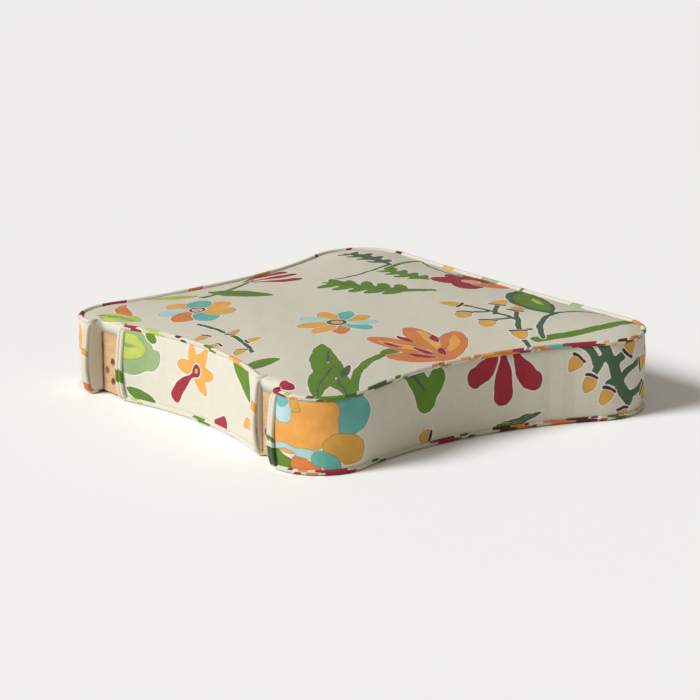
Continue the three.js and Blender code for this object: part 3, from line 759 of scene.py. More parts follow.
def weave_group():
    """Plain weave with slubs: a height and a tint, from flat cloth coordinates."""
    n, given, out = shader_group(
        "Linen weave",
        {"Flat": (VECTOR, None), "Threads": (FLOAT, 1000.0), "Slub": (FLOAT, 0.5)},
        {"Height": FLOAT, "Tint": FLOAT},
    )
    split = n.add("ShaderNodeSeparateXYZ")
    n.put(split.inputs[0], given["Flat"])
    wander = n.times(n.noise(given["Flat"], 60.0, 2.0), 0.9)
    waves = []
    for axis in (0, 1):
        turns = n.times(split.outputs[axis], given["Threads"])
        turns = n.plus(turns, wander)
        waves.append(n.math("SINE", n.times(turns, math.pi)))
    over = n.times(waves[0], waves[1])
    ridges = n.plus(n.math("ABSOLUTE", waves[0]), n.math("ABSOLUTE", waves[1]))
    weft = n.noise(n.scaled(given["Flat"], (45.0, 900.0, 1.0)), 1.0, 2.0, 0.6)
    warp = n.noise(n.scaled(given["Flat"], (900.0, 45.0, 1.0)), 1.0, 2.0, 0.6)
    slubs = n.math("SUBTRACT", n.plus(weft, warp), 1.0)
    height = n.plus(n.times(ridges, 0.5), n.times(over, 0.25))
    height = n.plus(height, n.times(slubs, given["Slub"]))
    n.put(out["Height"], height)
    tint = n.plus(n.times(slubs, given["Slub"]), n.times(over, 0.10))
    n.put(out["Tint"], tint)
    return n.tree


def print_group(palette):
    """The print: inks over the ground, each with a white line round it."""
    sockets = {"Ground": (COLOUR, (*palette.ground, 1.0)), "Halo": (COLOUR, (*palette.halo, 1.0))}
    for ink in INKS:
        sockets[ink.capitalize()] = (COLOUR, (*getattr(palette, ink), 1.0))
    sockets["Bleed"] = (FLOAT, 0.35)
    sockets["Mottle"] = (FLOAT, 0.5)
    sockets["Rim"] = (FLOAT, 0.30)
    n, given, out = shader_group("Botanical print", sockets, {"Color": COLOUR, "Ink": FLOAT})
    flat = n.attribute("cloth", "Vector")
    ragged = n.times(n.math("SUBTRACT", n.noise(flat, 700.0, 3.0, 0.6), 0.5), 0.7)

    def inside(distance, edge):
        share = n.math("DIVIDE", n.math("SUBTRACT", edge, distance), given["Bleed"])
        return n.plus(share, 0.5, clamp=True)

    def field(name):
        return n.plus(n.attribute(name), ragged)

    result = n.mix(inside(field("ink_any"), HALO), given["Ground"], given["Halo"])
    for ink in INKS:
        distance = field(f"ink_{ink}")
        rim = n.math("SUBTRACT", 1.0, inside(distance, -RIM))
        tone = n.mix(n.times(rim, given["Rim"]), given[ink.capitalize()], (0.05, 0.05, 0.04, 1.0))
        result = n.mix(inside(distance, 0.0), result, tone)
    broad = n.math("SUBTRACT", n.noise(flat, 38.0, 3.0, 0.55), 0.5)
    printed = inside(field("ink_any"), 0.0)
    shade = n.plus(1.0, n.times(n.times(broad, given["Mottle"]), printed))
    tone = n.add("ShaderNodeHueSaturation")
    n.put(tone.inputs["Color"], result)
    n.put(tone.inputs["Value"], shade)
    n.put(out["Color"], tone.outputs[0])
    n.put(out["Ink"], printed)
    return n.tree


def grain_group():
    """Straight-grained timber on Object coordinates, with the grain along X."""
    n, given, out = shader_group(
        "Timber grain",
        {"Place": (VECTOR, None), "Light": (COLOUR, None), "Dark": (COLOUR, None)},
        {"Color": COLOUR, "Height": FLOAT},
    )
    rings = n.noise(n.scaled(given["Place"], (3.0, 42.0, 42.0)), 1.0, 3.0, 0.55)
    flecks = n.noise(n.scaled(given["Place"], (60.0, 900.0, 900.0)), 1.0, 2.0, 0.6)
    bands = n.math("FRACT", n.times(rings, 9.0))
    share = n.plus(n.times(bands, 0.55), n.times(flecks, 0.45))
    n.put(out["Color"], n.mix(share, given["Light"], given["Dark"]))
    n.put(out["Height"], n.plus(flecks, n.times(bands, 0.3)))
    return n.tree


def speckle_group():
    """Fine random fibres: a value between 0 and 1 and a height, on Object coordinates."""
    n, given, out = shader_group(
        "Fibres", {"Place": (VECTOR, None), "Size": (FLOAT, 0.002)}, {"Value": FLOAT, "Height": FLOAT}
    )
    scale = n.math("DIVIDE", 1.0, given["Size"])
    coarse = n.noise(given["Place"], scale, 4.0, 0.6)
    fine = n.noise(given["Place"], n.times(scale, 3.7), 2.0, 0.6)
    n.put(out["Value"], coarse)
    n.put(out["Height"], n.plus(coarse, n.times(fine, 0.5)))
    return n.tree


def group_in(nodes, tree, **inputs):
    node = nodes.tree.nodes.new("ShaderNodeGroup")
    node.node_tree = tree
    for name, value in inputs.items():
        nodes.put(node.inputs[name], value)
    return node.outputs


def new_material(name, roughness, metallic=0.0, sheen=0.0, specular=0.5):
    """A material with one Principled shader. Returns it, its nodes and the shader."""
    material = bpy.data.materials.new(name)
    material.use_nodes = True
    nodes = Nodes(material.node_tree)
    shader = material.node_tree.nodes["Principled BSDF"]
    shader.inputs["Roughness"].default_value = roughness
    shader.inputs["Metallic"].default_value = metallic
    shader.inputs["Sheen Weight"].default_value = sheen
    shader.inputs["Specular IOR Level"].default_value = specular
    return material, nodes, shader


def bump(nodes, shader, height, distance, strength=1.0):
    node = nodes.add("ShaderNodeBump", Distance=distance, Strength=strength)
    nodes.put(node.inputs["Height"], height)
    nodes.put(shader.inputs["Normal"], node.outputs[0])


def between(n, shader, share, first, second):
    """Takes the base colour from between two, by a share that changes over the surface."""
    n.put(shader.inputs["Base Color"], n.mix(share, (*first, 1), (*second, 1)))


def object_place(nodes):
    return nodes.add("ShaderNodeTexCoord").outputs["Object"]


class Finishes:
    """The materials, made once and found by name."""

    def __init__(self):
        palette = bpy.context.scene.seat_pad_palette
        self.weave = weave_group()
        self.inks = print_group(palette)
        self.grain = grain_group()
        self.fibres = speckle_group()
        self.printed_linen = self.cloth("Printed linen", 0.00018)
        self.welt_linen = self.cloth("Welt linen", 0.00014)
        self.dust_cloth = self.nonwoven()
        self.beech = self.timber("Beech", (0.66, 0.43, 0.235, 1), (0.46, 0.265, 0.125, 1))
        self.steel = self.plated_steel()
        self.webbing = self.woven("Jute webbing", (0.36, 0.255, 0.130), 420.0)
        self.hessian = self.woven("Hessian", (0.40, 0.30, 0.165), 560.0)
        self.foam = self.spongy("Foam", (0.80, 0.71, 0.42), 0.0016)
        self.wadding = self.spongy("Wadding", (0.86, 0.86, 0.84), 0.006)

    def cloth(self, name, depth):
        material, n, shader = new_material(name, 0.86, sheen=0.04, specular=0.22)
        inks = group_in(n, self.inks)
        weave = group_in(n, self.weave, Flat=n.attribute("cloth", "Vector"), Threads=1150.0, Slub=0.55)
        tint = n.plus(1.0, n.times(weave["Tint"], 0.30))
        tone = n.add("ShaderNodeHueSaturation")
        n.put(tone.inputs["Color"], inks["Color"])
        n.put(tone.inputs["Value"], tint)
        n.put(shader.inputs["Base Color"], tone.outputs[0])
        rough = n.math("SUBTRACT", 0.90, n.times(inks["Ink"], 0.08))
        n.put(shader.inputs["Roughness"], rough)
        bump(n, shader, weave["Height"], depth)
        return material

    def nonwoven(self):
        material, n, shader = new_material("Black dust cloth", 0.92, sheen=0.08)
        place = object_place(n)
        fibres = group_in(n, self.fibres, Place=place, Size=0.0022)
        dots = n.add("ShaderNodeTexVoronoi", {"feature": "F1"}, Scale=420.0, Randomness=0.0)
        n.put(dots.inputs["Vector"], place)
        pressed = n.math("GREATER_THAN", dots.outputs["Distance"], 0.33)
        between(n, shader, fibres["Value"], (0.012, 0.012, 0.013), (0.045, 0.044, 0.046))
        height = n.plus(n.times(pressed, 0.8), fibres["Height"])
        bump(n, shader, height, 0.00015)
        return material

    def timber(self, name, light, dark):
        material, n, shader = new_material(name, 0.6)
        grain = group_in(n, self.grain, Place=object_place(n), Light=light, Dark=dark)
        n.put(shader.inputs["Base Color"], grain["Color"])
        n.put(shader.inputs["Roughness"], n.plus(0.48, n.times(grain["Height"], 0.15)))
        bump(n, shader, grain["Height"], 0.0001)
        return material

    def plated_steel(self):
        material, n, shader = new_material("Zinc-plated steel", 0.35, metallic=1.0)
        fibres = group_in(n, self.fibres, Place=object_place(n), Size=0.0012)
        between(n, shader, fibres["Value"], (0.62, 0.62, 0.60), (0.48, 0.48, 0.47))
        n.put(shader.inputs["Roughness"], n.plus(0.26, n.times(fibres["Value"], 0.2)))
        bump(n, shader, fibres["Height"], 0.00002)
        return material

    def woven(self, name, base, threads):
        material, n, shader = new_material(name, 0.95, sheen=0.1)
        weave = group_in(n, self.weave, Flat=object_place(n), Threads=threads, Slub=0.7)
        share = n.plus(0.5, weave["Tint"], clamp=True)
        between(n, shader, share, [c * 0.6 for c in base], base)
        bump(n, shader, weave["Height"], 0.0004)
        return material

    def spongy(self, name, base, cell):
        material, n, shader = new_material(name, 0.95)
        fibres = group_in(n, self.fibres, Place=object_place(n), Size=cell)
        between(n, shader, fibres["Value"], [c * 0.8 for c in base], base)
        bump(n, shader, fibres["Height"], 0.0004)
        return material


_made = {}


def finishes():
    if "finishes" not in _made:
        _made["finishes"] = Finishes()
    return _made["finishes"]


def plan():
    if "plan" not in _made:
        _made["plan"] = Plan(bpy.context.scene.seat_pad_cover)
    return _made["plan"]


# ---- Meshes -----------------------------------------------------------------------------------


def link(name, mesh, material, smooth=True):
    """Puts a finished mesh in the scene as a piece."""
    mesh.materials.clear()
    mesh.materials.append(material)
    mesh.polygons.foreach_set("use_smooth", [smooth] * len(mesh.polygons))
    piece = bpy.data.objects.new(name, mesh)
    bpy.context.scene.collection.objects.link(piece)
    return piece


def mesh_from(name, points, faces):
    mesh = bpy.data.meshes.new(name)
    mesh.from_pydata(np.asarray(points, float).tolist(), [], [tuple(map(int, face)) for face in faces])
    mesh.update()
    return mesh


def holder_of(mesh):
    """A passing object in the scene that carries a mesh while it is worked on."""
    holder = bpy.data.objects.new(mesh.name, mesh)
    bpy.context.scene.collection.objects.link(holder)
    return holder


def plain_mesh(holder):
    """The mesh that a holder's modifiers make, without the holder."""
    found = holder.evaluated_get(bpy.context.evaluated_depsgraph_get())
    mesh = bpy.data.meshes.new_from_object(found)
    bpy.data.objects.remove(holder)
    return mesh


def dressed(name, mesh, material, slot, *nodes):
    """A finished piece that rides on the pad and stands for these CAD nodes."""
    piece = link(name, mesh, material)
    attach(piece, "root")
    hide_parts(*nodes)
    return piece


def coordinates(mesh):
    co = np.empty(len(mesh.vertices) * 3)
    mesh.vertices.foreach_get("co", co)
    return co.reshape(-1, 3)


def grid_faces(rows, columns, closed):
    """Quads of a grid with rows * columns points, closed round the columns or not."""
    last = columns if closed else columns - 1
    faces = []
    for r in range(rows - 1):
        for c in range(last):
            d = (c + 1) % columns
            faces.append((r * columns + c, r * columns + d, (r + 1) * columns + d, (r + 1) * columns + c))
    return faces


def outward(mesh):
    """Turns every face outwards."""
    bm = bmesh.new()
    bm.from_mesh(mesh)
    bmesh.ops.recalc_face_normals(bm, faces=bm.faces)
    bm.to_mesh(mesh)
    bm.free()


def filled_plan(loop, step, holes=()):
    """Triangulates the inside of a closed loop, less its holes, on a square grid."""

    def within(points):
        inside = inside_loop(points, loop)
        for hole in holes:
            inside &= ~inside_loop(points, hole)
        return inside

    low, high = loop.min(0), loop.max(0)
    xs = np.arange(low[0] + step / 2, high[0], step)
    ys = np.arange(low[1] + step / 2, high[1], step)
    grid = np.stack(np.meshgrid(xs, ys), -1).reshape(-1, 2)
    grid = grid[within(grid)]
    rim = np.vstack([loop, *holes])
    gaps = np.concatenate([
        np.linalg.norm(part[:, None] - rim[None], axis=2).min(1) for part in np.array_split(grid, 8)
    ])
    points = np.vstack([rim, grid[gaps > step * 0.55]])
    edges, first = [], 0
    for ring in (loop, *holes):
        edges += [(first + i, first + (i + 1) % len(ring)) for i in range(len(ring))]
        first += len(ring)
    found = delaunay_2d_cdt([Vector(p) for p in points], edges, [], 0, 1e-7, False)
    points = np.array([tuple(v) for v in found[0]])
    middles = np.array([points[list(face)].mean(0) for face in found[2]])
    return points, [face for face, kept in zip(found[2], within(middles)) if kept]


def inside_loop(points, loop):
    """Which points lie inside a closed loop."""
    inside = np.zeros(len(points), bool)
    ends = np.roll(loop, -1, 0)
    for a, b in zip(loop, ends):
        if a[1] == b[1]:
            continue
        crosses = (a[1] > points[:, 1]) != (b[1] > points[:, 1])
        x = a[0] + (points[:, 1] - a[1]) * (b[0] - a[0]) / (b[1] - a[1])
        inside ^= crosses & (points[:, 0] < x)
    return inside


# ---- The filled form --------------------------------------------------------------------------

FORM_STEP = 0.0072
FORM_ROWS = 11
CLOTH_FRAMES = 20
RIM_Z = UPPER_Z - 0.0006  # the top's rim lies a little under the upper cord's middle
PILLOW_REACH = 0.007
CLOTH_SETTINGS = {
    "quality": 6, "mass": 0.3, "tension_stiffness": 30.0, "compression_stiffness": 30.0,
    "shear_stiffness": 12.0, "bending_stiffness": 3.0, "use_pressure": True,
    "vertex_group_mass": "seams",
}


def crown_height(xy, cover, shape):
    """Height of the unfilled top over the upper welt."""
    inset = shape.inset(xy)
    share = np.clip(1 - inset / (shape.depth / 2), 0, 1)
    return cover.crown * (1 - share**2) + cover.pillow * (1 - np.exp(-inset / PILLOW_REACH))


def fill_cover():
    """Fills the closed cover by cloth simulation, with its seams held.

    Returns the top's points and faces, how far the band moves out, as a grid of rows, from the
    upper seam down, by loop points, and the loop.
    """
    if "form" in _made:
        return _made["form"]
    cover = bpy.context.scene.seat_pad_cover
    shape = plan()
    loop, in_notch = shape.notched(bpy.context.scene.seat_pad_trim.welt_inset * 2, FORM_STEP)
    top, faces = filled_plan(loop, FORM_STEP)
    start, count = len(top), len(loop)
    z = RIM_Z + crown_height(top, cover, shape)
    z[:count] = RIM_Z
    points = [np.column_stack([top, z])]
    for height in np.linspace(RIM_Z, LOWER_Z, FORM_ROWS)[1:]:
        points.append(np.column_stack([loop, np.full(count, height)]))
    rows = [np.arange(count)] + [start + row * count + np.arange(count) for row in range(FORM_ROWS - 1)]
    faces_all = [tuple(face) for face in faces]
    for above, below in zip(rows, rows[1:]):
        faces_all += zip(above, below, np.roll(below, -1), np.roll(above, -1))
    faces_all.append(tuple(rows[-1][::-1]))
    rest = np.vstack(points)
    moved = rest
    held = [*rows[0], *rows[-1], *(i for row in rows[1:] for i in row[in_notch])]
    moved = simulate(rest, faces_all, sorted({int(i) for i in held}), cover.fill)
    shift = moved - rest
    far = np.linalg.norm(shift, axis=1)
    cap = np.where(np.arange(len(rest)) < start, cover.top_give, cover.band_give)
    shift *= (cap * np.tanh(far / cap) / np.maximum(far, 1e-9))[:, None]
    band = np.zeros((FORM_ROWS, count, 3))
    band[1:] = shift[start:].reshape(FORM_ROWS - 1, count, 3)
    _made["form"] = rest[:start] + shift[:start], faces, band, loop
    return _made["form"]


def simulate(points, faces, held, fill):
    """Runs Cloth with inner pressure and no gravity, and returns where the points end."""
    mesh = mesh_from("filling_form", points, faces)
    outward(mesh)
    holder = holder_of(mesh)
    holder.vertex_groups.new(name="seams").add(held, 1.0, "REPLACE")
    cloth = holder.modifiers.new("Filling", "CLOTH")
    for name, value in CLOTH_SETTINGS.items():
        setattr(cloth.settings, name, value)
    cloth.settings.uniform_pressure_force = fill
    cloth.settings.effector_weights.gravity = 0.0
    cloth.collision_settings.use_collision = False
    cloth.point_cache.frame_start = 1
    cloth.point_cache.frame_end = CLOTH_FRAMES
    for step in range(1, CLOTH_FRAMES + 1):
        bpy.context.scene.frame_set(step)
    result = coordinates(plain_mesh(holder))
    bpy.context.scene.frame_set(1)
    return result


def subdivided(mesh, levels):
    """The mesh after Subdivision Surface, as a plain mesh."""
    holder = holder_of(mesh)
    modifier = holder.modifiers.new("Smooth", "SUBSURF")
    modifier.levels = modifier.render_levels = levels
    return plain_mesh(holder)


def quads_from(mesh):
    """Joins the triangles of a square grid back into quads."""
    bm = bmesh.new()
    bm.from_mesh(mesh)
    bmesh.ops.join_triangles(
        bm, faces=bm.faces, angle_face_threshold=math.radians(30), angle_shape_threshold=math.radians(40)
    )
    bm.to_mesh(mesh)
    bm.free()


def close_under(mesh, floor_z, notch_z, shape):
    """Closes an open sheet with a skirt round its rim and a flat underside."""
    bm = bmesh.new()
    bm.from_mesh(mesh)
    rim = [e for e in bm.edges if e.is_boundary]
    made = bmesh.ops.extrude_edge_only(bm, edges=rim)
    low = [v for v in made["geom"] if isinstance(v, bmesh.types.BMVert)]
    inner, outer = shape.notch_x
    for vert in low:
        in_notch = inner - 0.0005 < abs(vert.co.x) < outer + 0.0005 and vert.co.y > 0
        vert.co.z = notch_z if in_notch else floor_z
    bottom = [e for e in made["geom"] if isinstance(e, bmesh.types.BMEdge) and e.is_boundary]
    bmesh.ops.triangle_fill(bm, edges=bottom, use_beauty=False)
    bmesh.ops.recalc_face_normals(bm, faces=bm.faces)
    bm.to_mesh(mesh)
    bm.free()


# ---- Curves through Geometry Nodes ------------------------------------------------------------


def geometry_tree(name, inputs):
    """An empty Geometry Nodes tree with a mesh in and out and named inputs."""
    tree = bpy.data.node_groups.new(name, "GeometryNodeTree")
    tree.interface.new_socket(name="Geometry", in_out="INPUT", socket_type="NodeSocketGeometry")
    for socket, (kind, default) in inputs.items():
        made = tree.interface.new_socket(name=socket, in_out="INPUT", socket_type=kind)
        if default is not None:
            made.default_value = default
    tree.interface.new_socket(name="Geometry", in_out="OUTPUT", socket_type="NodeSocketGeometry")
    nodes = Nodes(tree)
    return nodes, nodes.add("NodeGroupInput").outputs, nodes.add("NodeGroupOutput").inputs


def finish_tree(n, geometry, given, out):
    """Ends a tree: instances made real, and the material set."""
    real = n.add("GeometryNodeRealizeInstances")
    n.put(real.inputs[0], geometry)
    dressed = n.add("GeometryNodeSetMaterial")
    n.put(dressed.inputs["Geometry"], real.outputs[0])
    n.put(dressed.inputs["Material"], given["Material"])
    n.put(out["Geometry"], dressed.outputs[0])


def cord_tree():
    """A round cord along each line of a mesh, which keeps its length along and its turn around."""
    n, given, out = geometry_tree("Covered cord", {
        "Radius": (FLOAT, 0.0027), "Step": (FLOAT, 0.0025), "Sides": ("NodeSocketInt", 14),
        "Material": ("NodeSocketMaterial", None),
    })
    line = n.add("GeometryNodeMeshToCurve")
    n.put(line.inputs["Mesh"], given["Geometry"])
    even = n.add("GeometryNodeResampleCurve", {"mode": "LENGTH"})
    n.put(even.inputs["Curve"], line.outputs[0])
    n.put(even.inputs["Length"], given["Step"])
    along = kept(n, even.outputs[0], n.add("GeometryNodeSplineParameter").outputs["Length"])
    ring = n.add("GeometryNodeCurvePrimitiveCircle")
    n.put(ring.inputs["Resolution"], given["Sides"])
    n.put(ring.inputs["Radius"], given["Radius"])
    around = kept(n, ring.outputs[0], n.add("GeometryNodeSplineParameter").outputs["Length"])
    tube = n.add("GeometryNodeCurveToMesh", Fill_Caps=True)
    n.put(tube.inputs["Curve"], along[0])
    n.put(tube.inputs["Profile Curve"], around[0])
    geometry = stored(n, tube.outputs[0], "along", along[1])
    geometry = stored(n, geometry, "around", around[1])
    finish_tree(n, geometry, given, out)
    return n.tree


def kept(n, geometry, value):
    """Captures a value on a geometry's points. Returns the geometry and the captured value."""
    node = n.add("GeometryNodeCaptureAttribute")
    node.capture_items.new("FLOAT", "value")
    n.put(node.inputs["Geometry"], geometry)
    n.put(node.inputs[1], value)
    return node.outputs["Geometry"], node.outputs[1]


def stored(n, geometry, name, value):
    node = n.add("GeometryNodeStoreNamedAttribute", {"data_type": "FLOAT", "domain": "POINT"})
    n.put(node.inputs["Geometry"], geometry)
    node.inputs["Name"].default_value = name
    n.put(node.inputs["Value"], value)
    return node.outputs["Geometry"]


def along_path_tree():
    """Copies of one piece at an even pitch along each line of a mesh, turned to follow it."""
    n, given, out = geometry_tree("Pieces along a seam", {
        "Piece": ("NodeSocketObject", None), "Pitch": (FLOAT, 0.01), "Sway": (FLOAT, 0.0),
        "Seed": ("NodeSocketInt", 3), "Material": ("NodeSocketMaterial", None),
    })
    line = n.add("GeometryNodeMeshToCurve")
    n.put(line.inputs["Mesh"], given["Geometry"])
    spots = n.add("GeometryNodeCurveToPoints", {"mode": "LENGTH"})
    n.put(spots.inputs["Curve"], line.outputs[0])
    n.put(spots.inputs["Length"], given["Pitch"])
    piece = n.add("GeometryNodeObjectInfo")
    n.put(piece.inputs["Object"], given["Piece"])
    facing = n.add("FunctionNodeAlignRotationToVector", {"axis": "X"})
    n.put(facing.inputs["Vector"], spots.outputs["Tangent"])
    sway = n.add("FunctionNodeRandomValue", {"data_type": "FLOAT"})
    floats = [s for s in sway.inputs if s.type == "VALUE"]
    n.put(floats[0], n.times(given["Sway"], -1.0))
    n.put(floats[1], given["Sway"])
    n.put(sway.inputs["Seed"], given["Seed"])
    turn = n.add("FunctionNodeAxisAngleToRotation")
    turn.inputs["Axis"].default_value = (0.0, 0.0, 1.0)
    n.put(turn.inputs["Angle"], [s for s in sway.outputs if s.type == "VALUE"][0])
    both = n.add("FunctionNodeRotateRotation", {"rotation_space": "LOCAL"})
    n.put(both.inputs["Rotation"], facing.outputs[0])
    n.put(both.inputs["Rotate By"], turn.outputs[0])
    copies = n.add("GeometryNodeInstanceOnPoints")
    n.put(copies.inputs["Points"], spots.outputs["Points"])
    n.put(copies.inputs["Instance"], piece.outputs["Geometry"])
    n.put(copies.inputs["Rotation"], both.outputs[0])
    finish_tree(n, copies.outputs[0], given, out)
    return n.tree


def tree(name, build):
    if name not in _made:
        _made[name] = build()
    return _made[name]


def grown(lines, node_tree, **inputs):
    """Runs a tree on lines of points and returns the result as a plain mesh."""
    points = np.vstack(lines)
    edges, first = [], 0
    for line in lines:
        edges += [(first + i, first + i + 1) for i in range(len(line) - 1)]
        first += len(line)
    mesh = bpy.data.meshes.new("path")
    mesh.from_pydata([tuple(p) for p in points], edges, [])
    path = holder_of(mesh)
    modifier = path.modifiers.new("Grow", "NODES")
    modifier.node_group = node_tree
    for item in node_tree.interface.items_tree:
        if item.item_type == "SOCKET" and item.in_out == "INPUT" and item.name in inputs:
            modifier[item.identifier] = inputs[item.name]
    return plain_mesh(path)


def attribute_values(mesh, name):
    values = np.empty(len(mesh.vertices), np.float32)
    mesh.attributes[name].data.foreach_get("value", values)
    return values


def print_cord(mesh, start, patches):
    """Prints the coloured stretches on a cord whose length begins at start, in millimetres."""
    along = attribute_values(mesh, "along") / MM + start
    around = attribute_values(mesh, "around") / MM
    cloth = Cloth(np.stack([along, around], -1))
    for ink, low, high in patches:
        cloth.patch(ink, low, high)
    cloth.store(mesh)


def smooth_noise(points, scale, seed):
    """A soft wander between -1 and 1 at each point, from a few slow waves."""
    random = np.random.default_rng(seed)
    total = np.zeros(len(points))
    for _ in range(5):
        direction = random.normal(size=points.shape[1])
        direction /= np.linalg.norm(direction) * scale * random.uniform(0.7, 1.5)
        total += np.sin(points @ direction * 2 * math.pi + random.uniform(0, 2 * math.pi))
    return total / 5


# ---- Pieces -----------------------------------------------------------------------------------


def make_top():
    """The top: a crowned, filled form under printed linen."""
    cover = bpy.context.scene.seat_pad_cover
    shape = plan()
    points, faces, _, _ = fill_cover()
    mesh = mesh_from("top_cushion", settle(points, cover), faces)
    quads_from(mesh)
    mesh = subdivided(mesh, 2)
    co = coordinates(mesh)
    xy = co[:, :2]
    inset = shape.inset(xy)
    dimples = smooth_noise(xy, 0.085, 5) * 0.0006 + smooth_noise(xy, 0.03, 8) * 0.00022
    puckers = smooth_noise(xy, 0.019, 9) * 0.0005
    beside_seam = np.exp(-inset / 0.011) * np.clip(inset / 0.004, 0, 1)
    co[:, 2] += dimples * np.clip(inset / 0.03, 0, 1) + puckers * beside_seam
    mesh.vertices.foreach_set("co", co.ravel())
    close_under(mesh, SLAB[1].z + 0.0006, LEG_PAD[1].z + 0.0004, shape)
    laid = coordinates(mesh)
    hanging = laid[:, 2] < UPPER_Z - 0.009
    laid[hanging, 1] += UPPER_Z - laid[hanging, 2]
    cloth = Cloth(laid[:, :2] / MM)
    print_top(cloth)
    cloth.store(mesh)
    nodes = ("top_panel", "top_wadding", "foam_crown")
    piece = dressed("top_cushion", mesh, finishes().printed_linen, "printed_linen", *nodes)


TURN_IN = 0.0155  # length of the band that turns into a notch


def band_path(first, last, shape, step=0.0019):
    """Points, normals and cloth lengths along a band, with its ends turned into the notches."""
    count = round((last - first) / step)
    s = np.linspace(first, last, count + 1)
    point, normal = shape.at(s)
    turn = np.arange(step, TURN_IN, step)

    def turned_in(corner, facing, steps):
        inside = corner[None] - np.stack([np.zeros_like(steps), steps], -1)
        return inside, np.tile([facing, 0.0], (len(steps), 1))

    head, head_normal = turned_in(point[0], 1.0, turn[::-1])
    tail, tail_normal = turned_in(point[-1], -1.0, turn)
    points = np.vstack([head, point, tail])
    normals = np.vstack([head_normal, normal, tail_normal])
    lengths = np.concatenate([first - turn[::-1], s, last + turn])
    for _ in range(3):
        points[1:-1] = (points[:-2] + 2 * points[1:-1] + points[2:]) / 4
        normals[1:-1] = (normals[:-2] + 2 * normals[1:-1] + normals[2:]) / 4
    normals /= np.linalg.norm(normals, axis=1)[:, None]
    return points, normals, lengths


BAND_ROWS = 42
SEAM_TUCK, TUCK_REACH = 0.0016, 0.0022  # how far the band dips at a seam, and over what height
HELD_LENGTH = 0.012  # the band bows less and less over this length before a notch
SWELL_REACH = 0.014  # the lean beside a rear leg fades over this length
WRAP_BELOW = -400  # lengths below this, in millimetres, are counted round the girth


def filling_push(lengths, heights, shape):
    """How far the filling pushes the band out, on a grid of heights by lengths."""
    _, _, pushed, loop = fill_cover()
    loop_s = loop_lengths(loop, shape)
    order = np.argsort(loop_s)
    form_heights = np.linspace(RIM_Z, LOWER_Z, FORM_ROWS)[::-1]
    out = np.einsum("rck,ck->rc", pushed[:, :, :2], shape.at(loop_s)[1])[::-1]
    s = np.mod(lengths, shape.girth)
    by_row = np.stack([np.interp(s, loop_s[order], row[order], period=shape.girth) for row in out])
    return np.stack([np.interp(heights, form_heights, column) for column in by_row.T], -1)


def print_sheet(mesh, lengths, across, girth):
    """Prints the band's motifs on a closed sheet, whose outer face is a grid of across by lengths."""
    columns = len(lengths)
    place = np.stack([np.tile(lengths, len(across)), np.repeat(across, columns)], -1)
    place = np.vstack([place, place[:columns], place[-columns:]]) / MM
    place[:, 0] = np.where(place[:, 0] < WRAP_BELOW, place[:, 0] + girth / MM, place[:, 0])
    cloth = Cloth(place)
    print_band(cloth)
    cloth.store(mesh)


def make_band(name, first, last, node, seed):
    """A boxing band between two lengths, as a thin closed cloth, bulged by the filling."""
    cover = bpy.context.scene.seat_pad_cover
    shape = plan()
    points, normals, lengths = band_path(first, last, shape)
    heights = np.linspace(LOWER_Z, UPPER_Z, BAND_ROWS)
    columns = len(lengths)
    share = (heights - LOWER_Z) / (UPPER_Z - LOWER_Z)
    arch = np.sin(np.pi * share)[:, None]
    dip = np.exp(-(heights - LOWER_Z) / TUCK_REACH) + np.exp(-(UPPER_Z - heights) / TUCK_REACH)
    loose = np.clip(np.minimum(lengths - first, last - lengths) / HELD_LENGTH, 0, 1)
    flat = np.stack([np.tile(lengths, BAND_ROWS), np.repeat(heights, columns)], -1)
    wander = smooth_noise(flat, 0.055, seed).reshape(BAND_ROWS, columns) * 0.00045
    bow = cover.band_crown + wander + edge_puckers(lengths, heights, seed)
    push = filling_push(lengths, heights, shape)
    offset = (push + bow * arch**0.7) * loose - SEAM_TUCK * dip[:, None]
    outer = np.empty((BAND_ROWS, columns, 3))
    outer[:, :, :2] = points + offset[:, :, None] * normals
    outer[:, :, 2] = heights[:, None]
    beside = np.minimum(np.abs(lengths - first), np.abs(lengths - last))
    outer[:, :, 1] += cover.notch_swell * arch * np.exp(-((beside / SWELL_REACH) ** 2))
    outer = settle(outer.reshape(-1, 3), cover).reshape(BAND_ROWS, columns, 3)
    inner = outer[[0, -1]].copy()
    inner[:, :, :2] -= COVER_THICKNESS * 0.6 * normals
    mesh = closed_sheet(name, outer, inner)
    print_sheet(mesh, lengths, heights - LOWER_Z, shape.girth)
    piece = dressed(name, mesh, finishes().printed_linen, "printed_linen", node)


def edge_puckers(lengths, heights, seed):
    """Fine gathers that fade away from both seams."""
    random = np.random.default_rng(seed)
    total = np.zeros((len(heights), len(lengths)))
    for edge in (LOWER_Z, UPPER_Z):
        fade = np.exp(-np.abs(heights - edge) / 0.014)[:, None]
        wave = np.zeros(len(lengths))
        for _ in range(6):
            pitch = random.uniform(0.018, 0.05)
            wave += np.sin(lengths / pitch * 2 * math.pi + random.uniform(0, 6.28))
        total += fade * (wave / 6)[None] * 0.0006
    return total


def loop_lengths(loop, shape):
    """Length along the outline for each point of the notched loop."""
    gaps = np.linalg.norm(loop[:, None] - shape.points[None, ::4], axis=2)
    return shape.lengths[::4][gaps.argmin(1)]


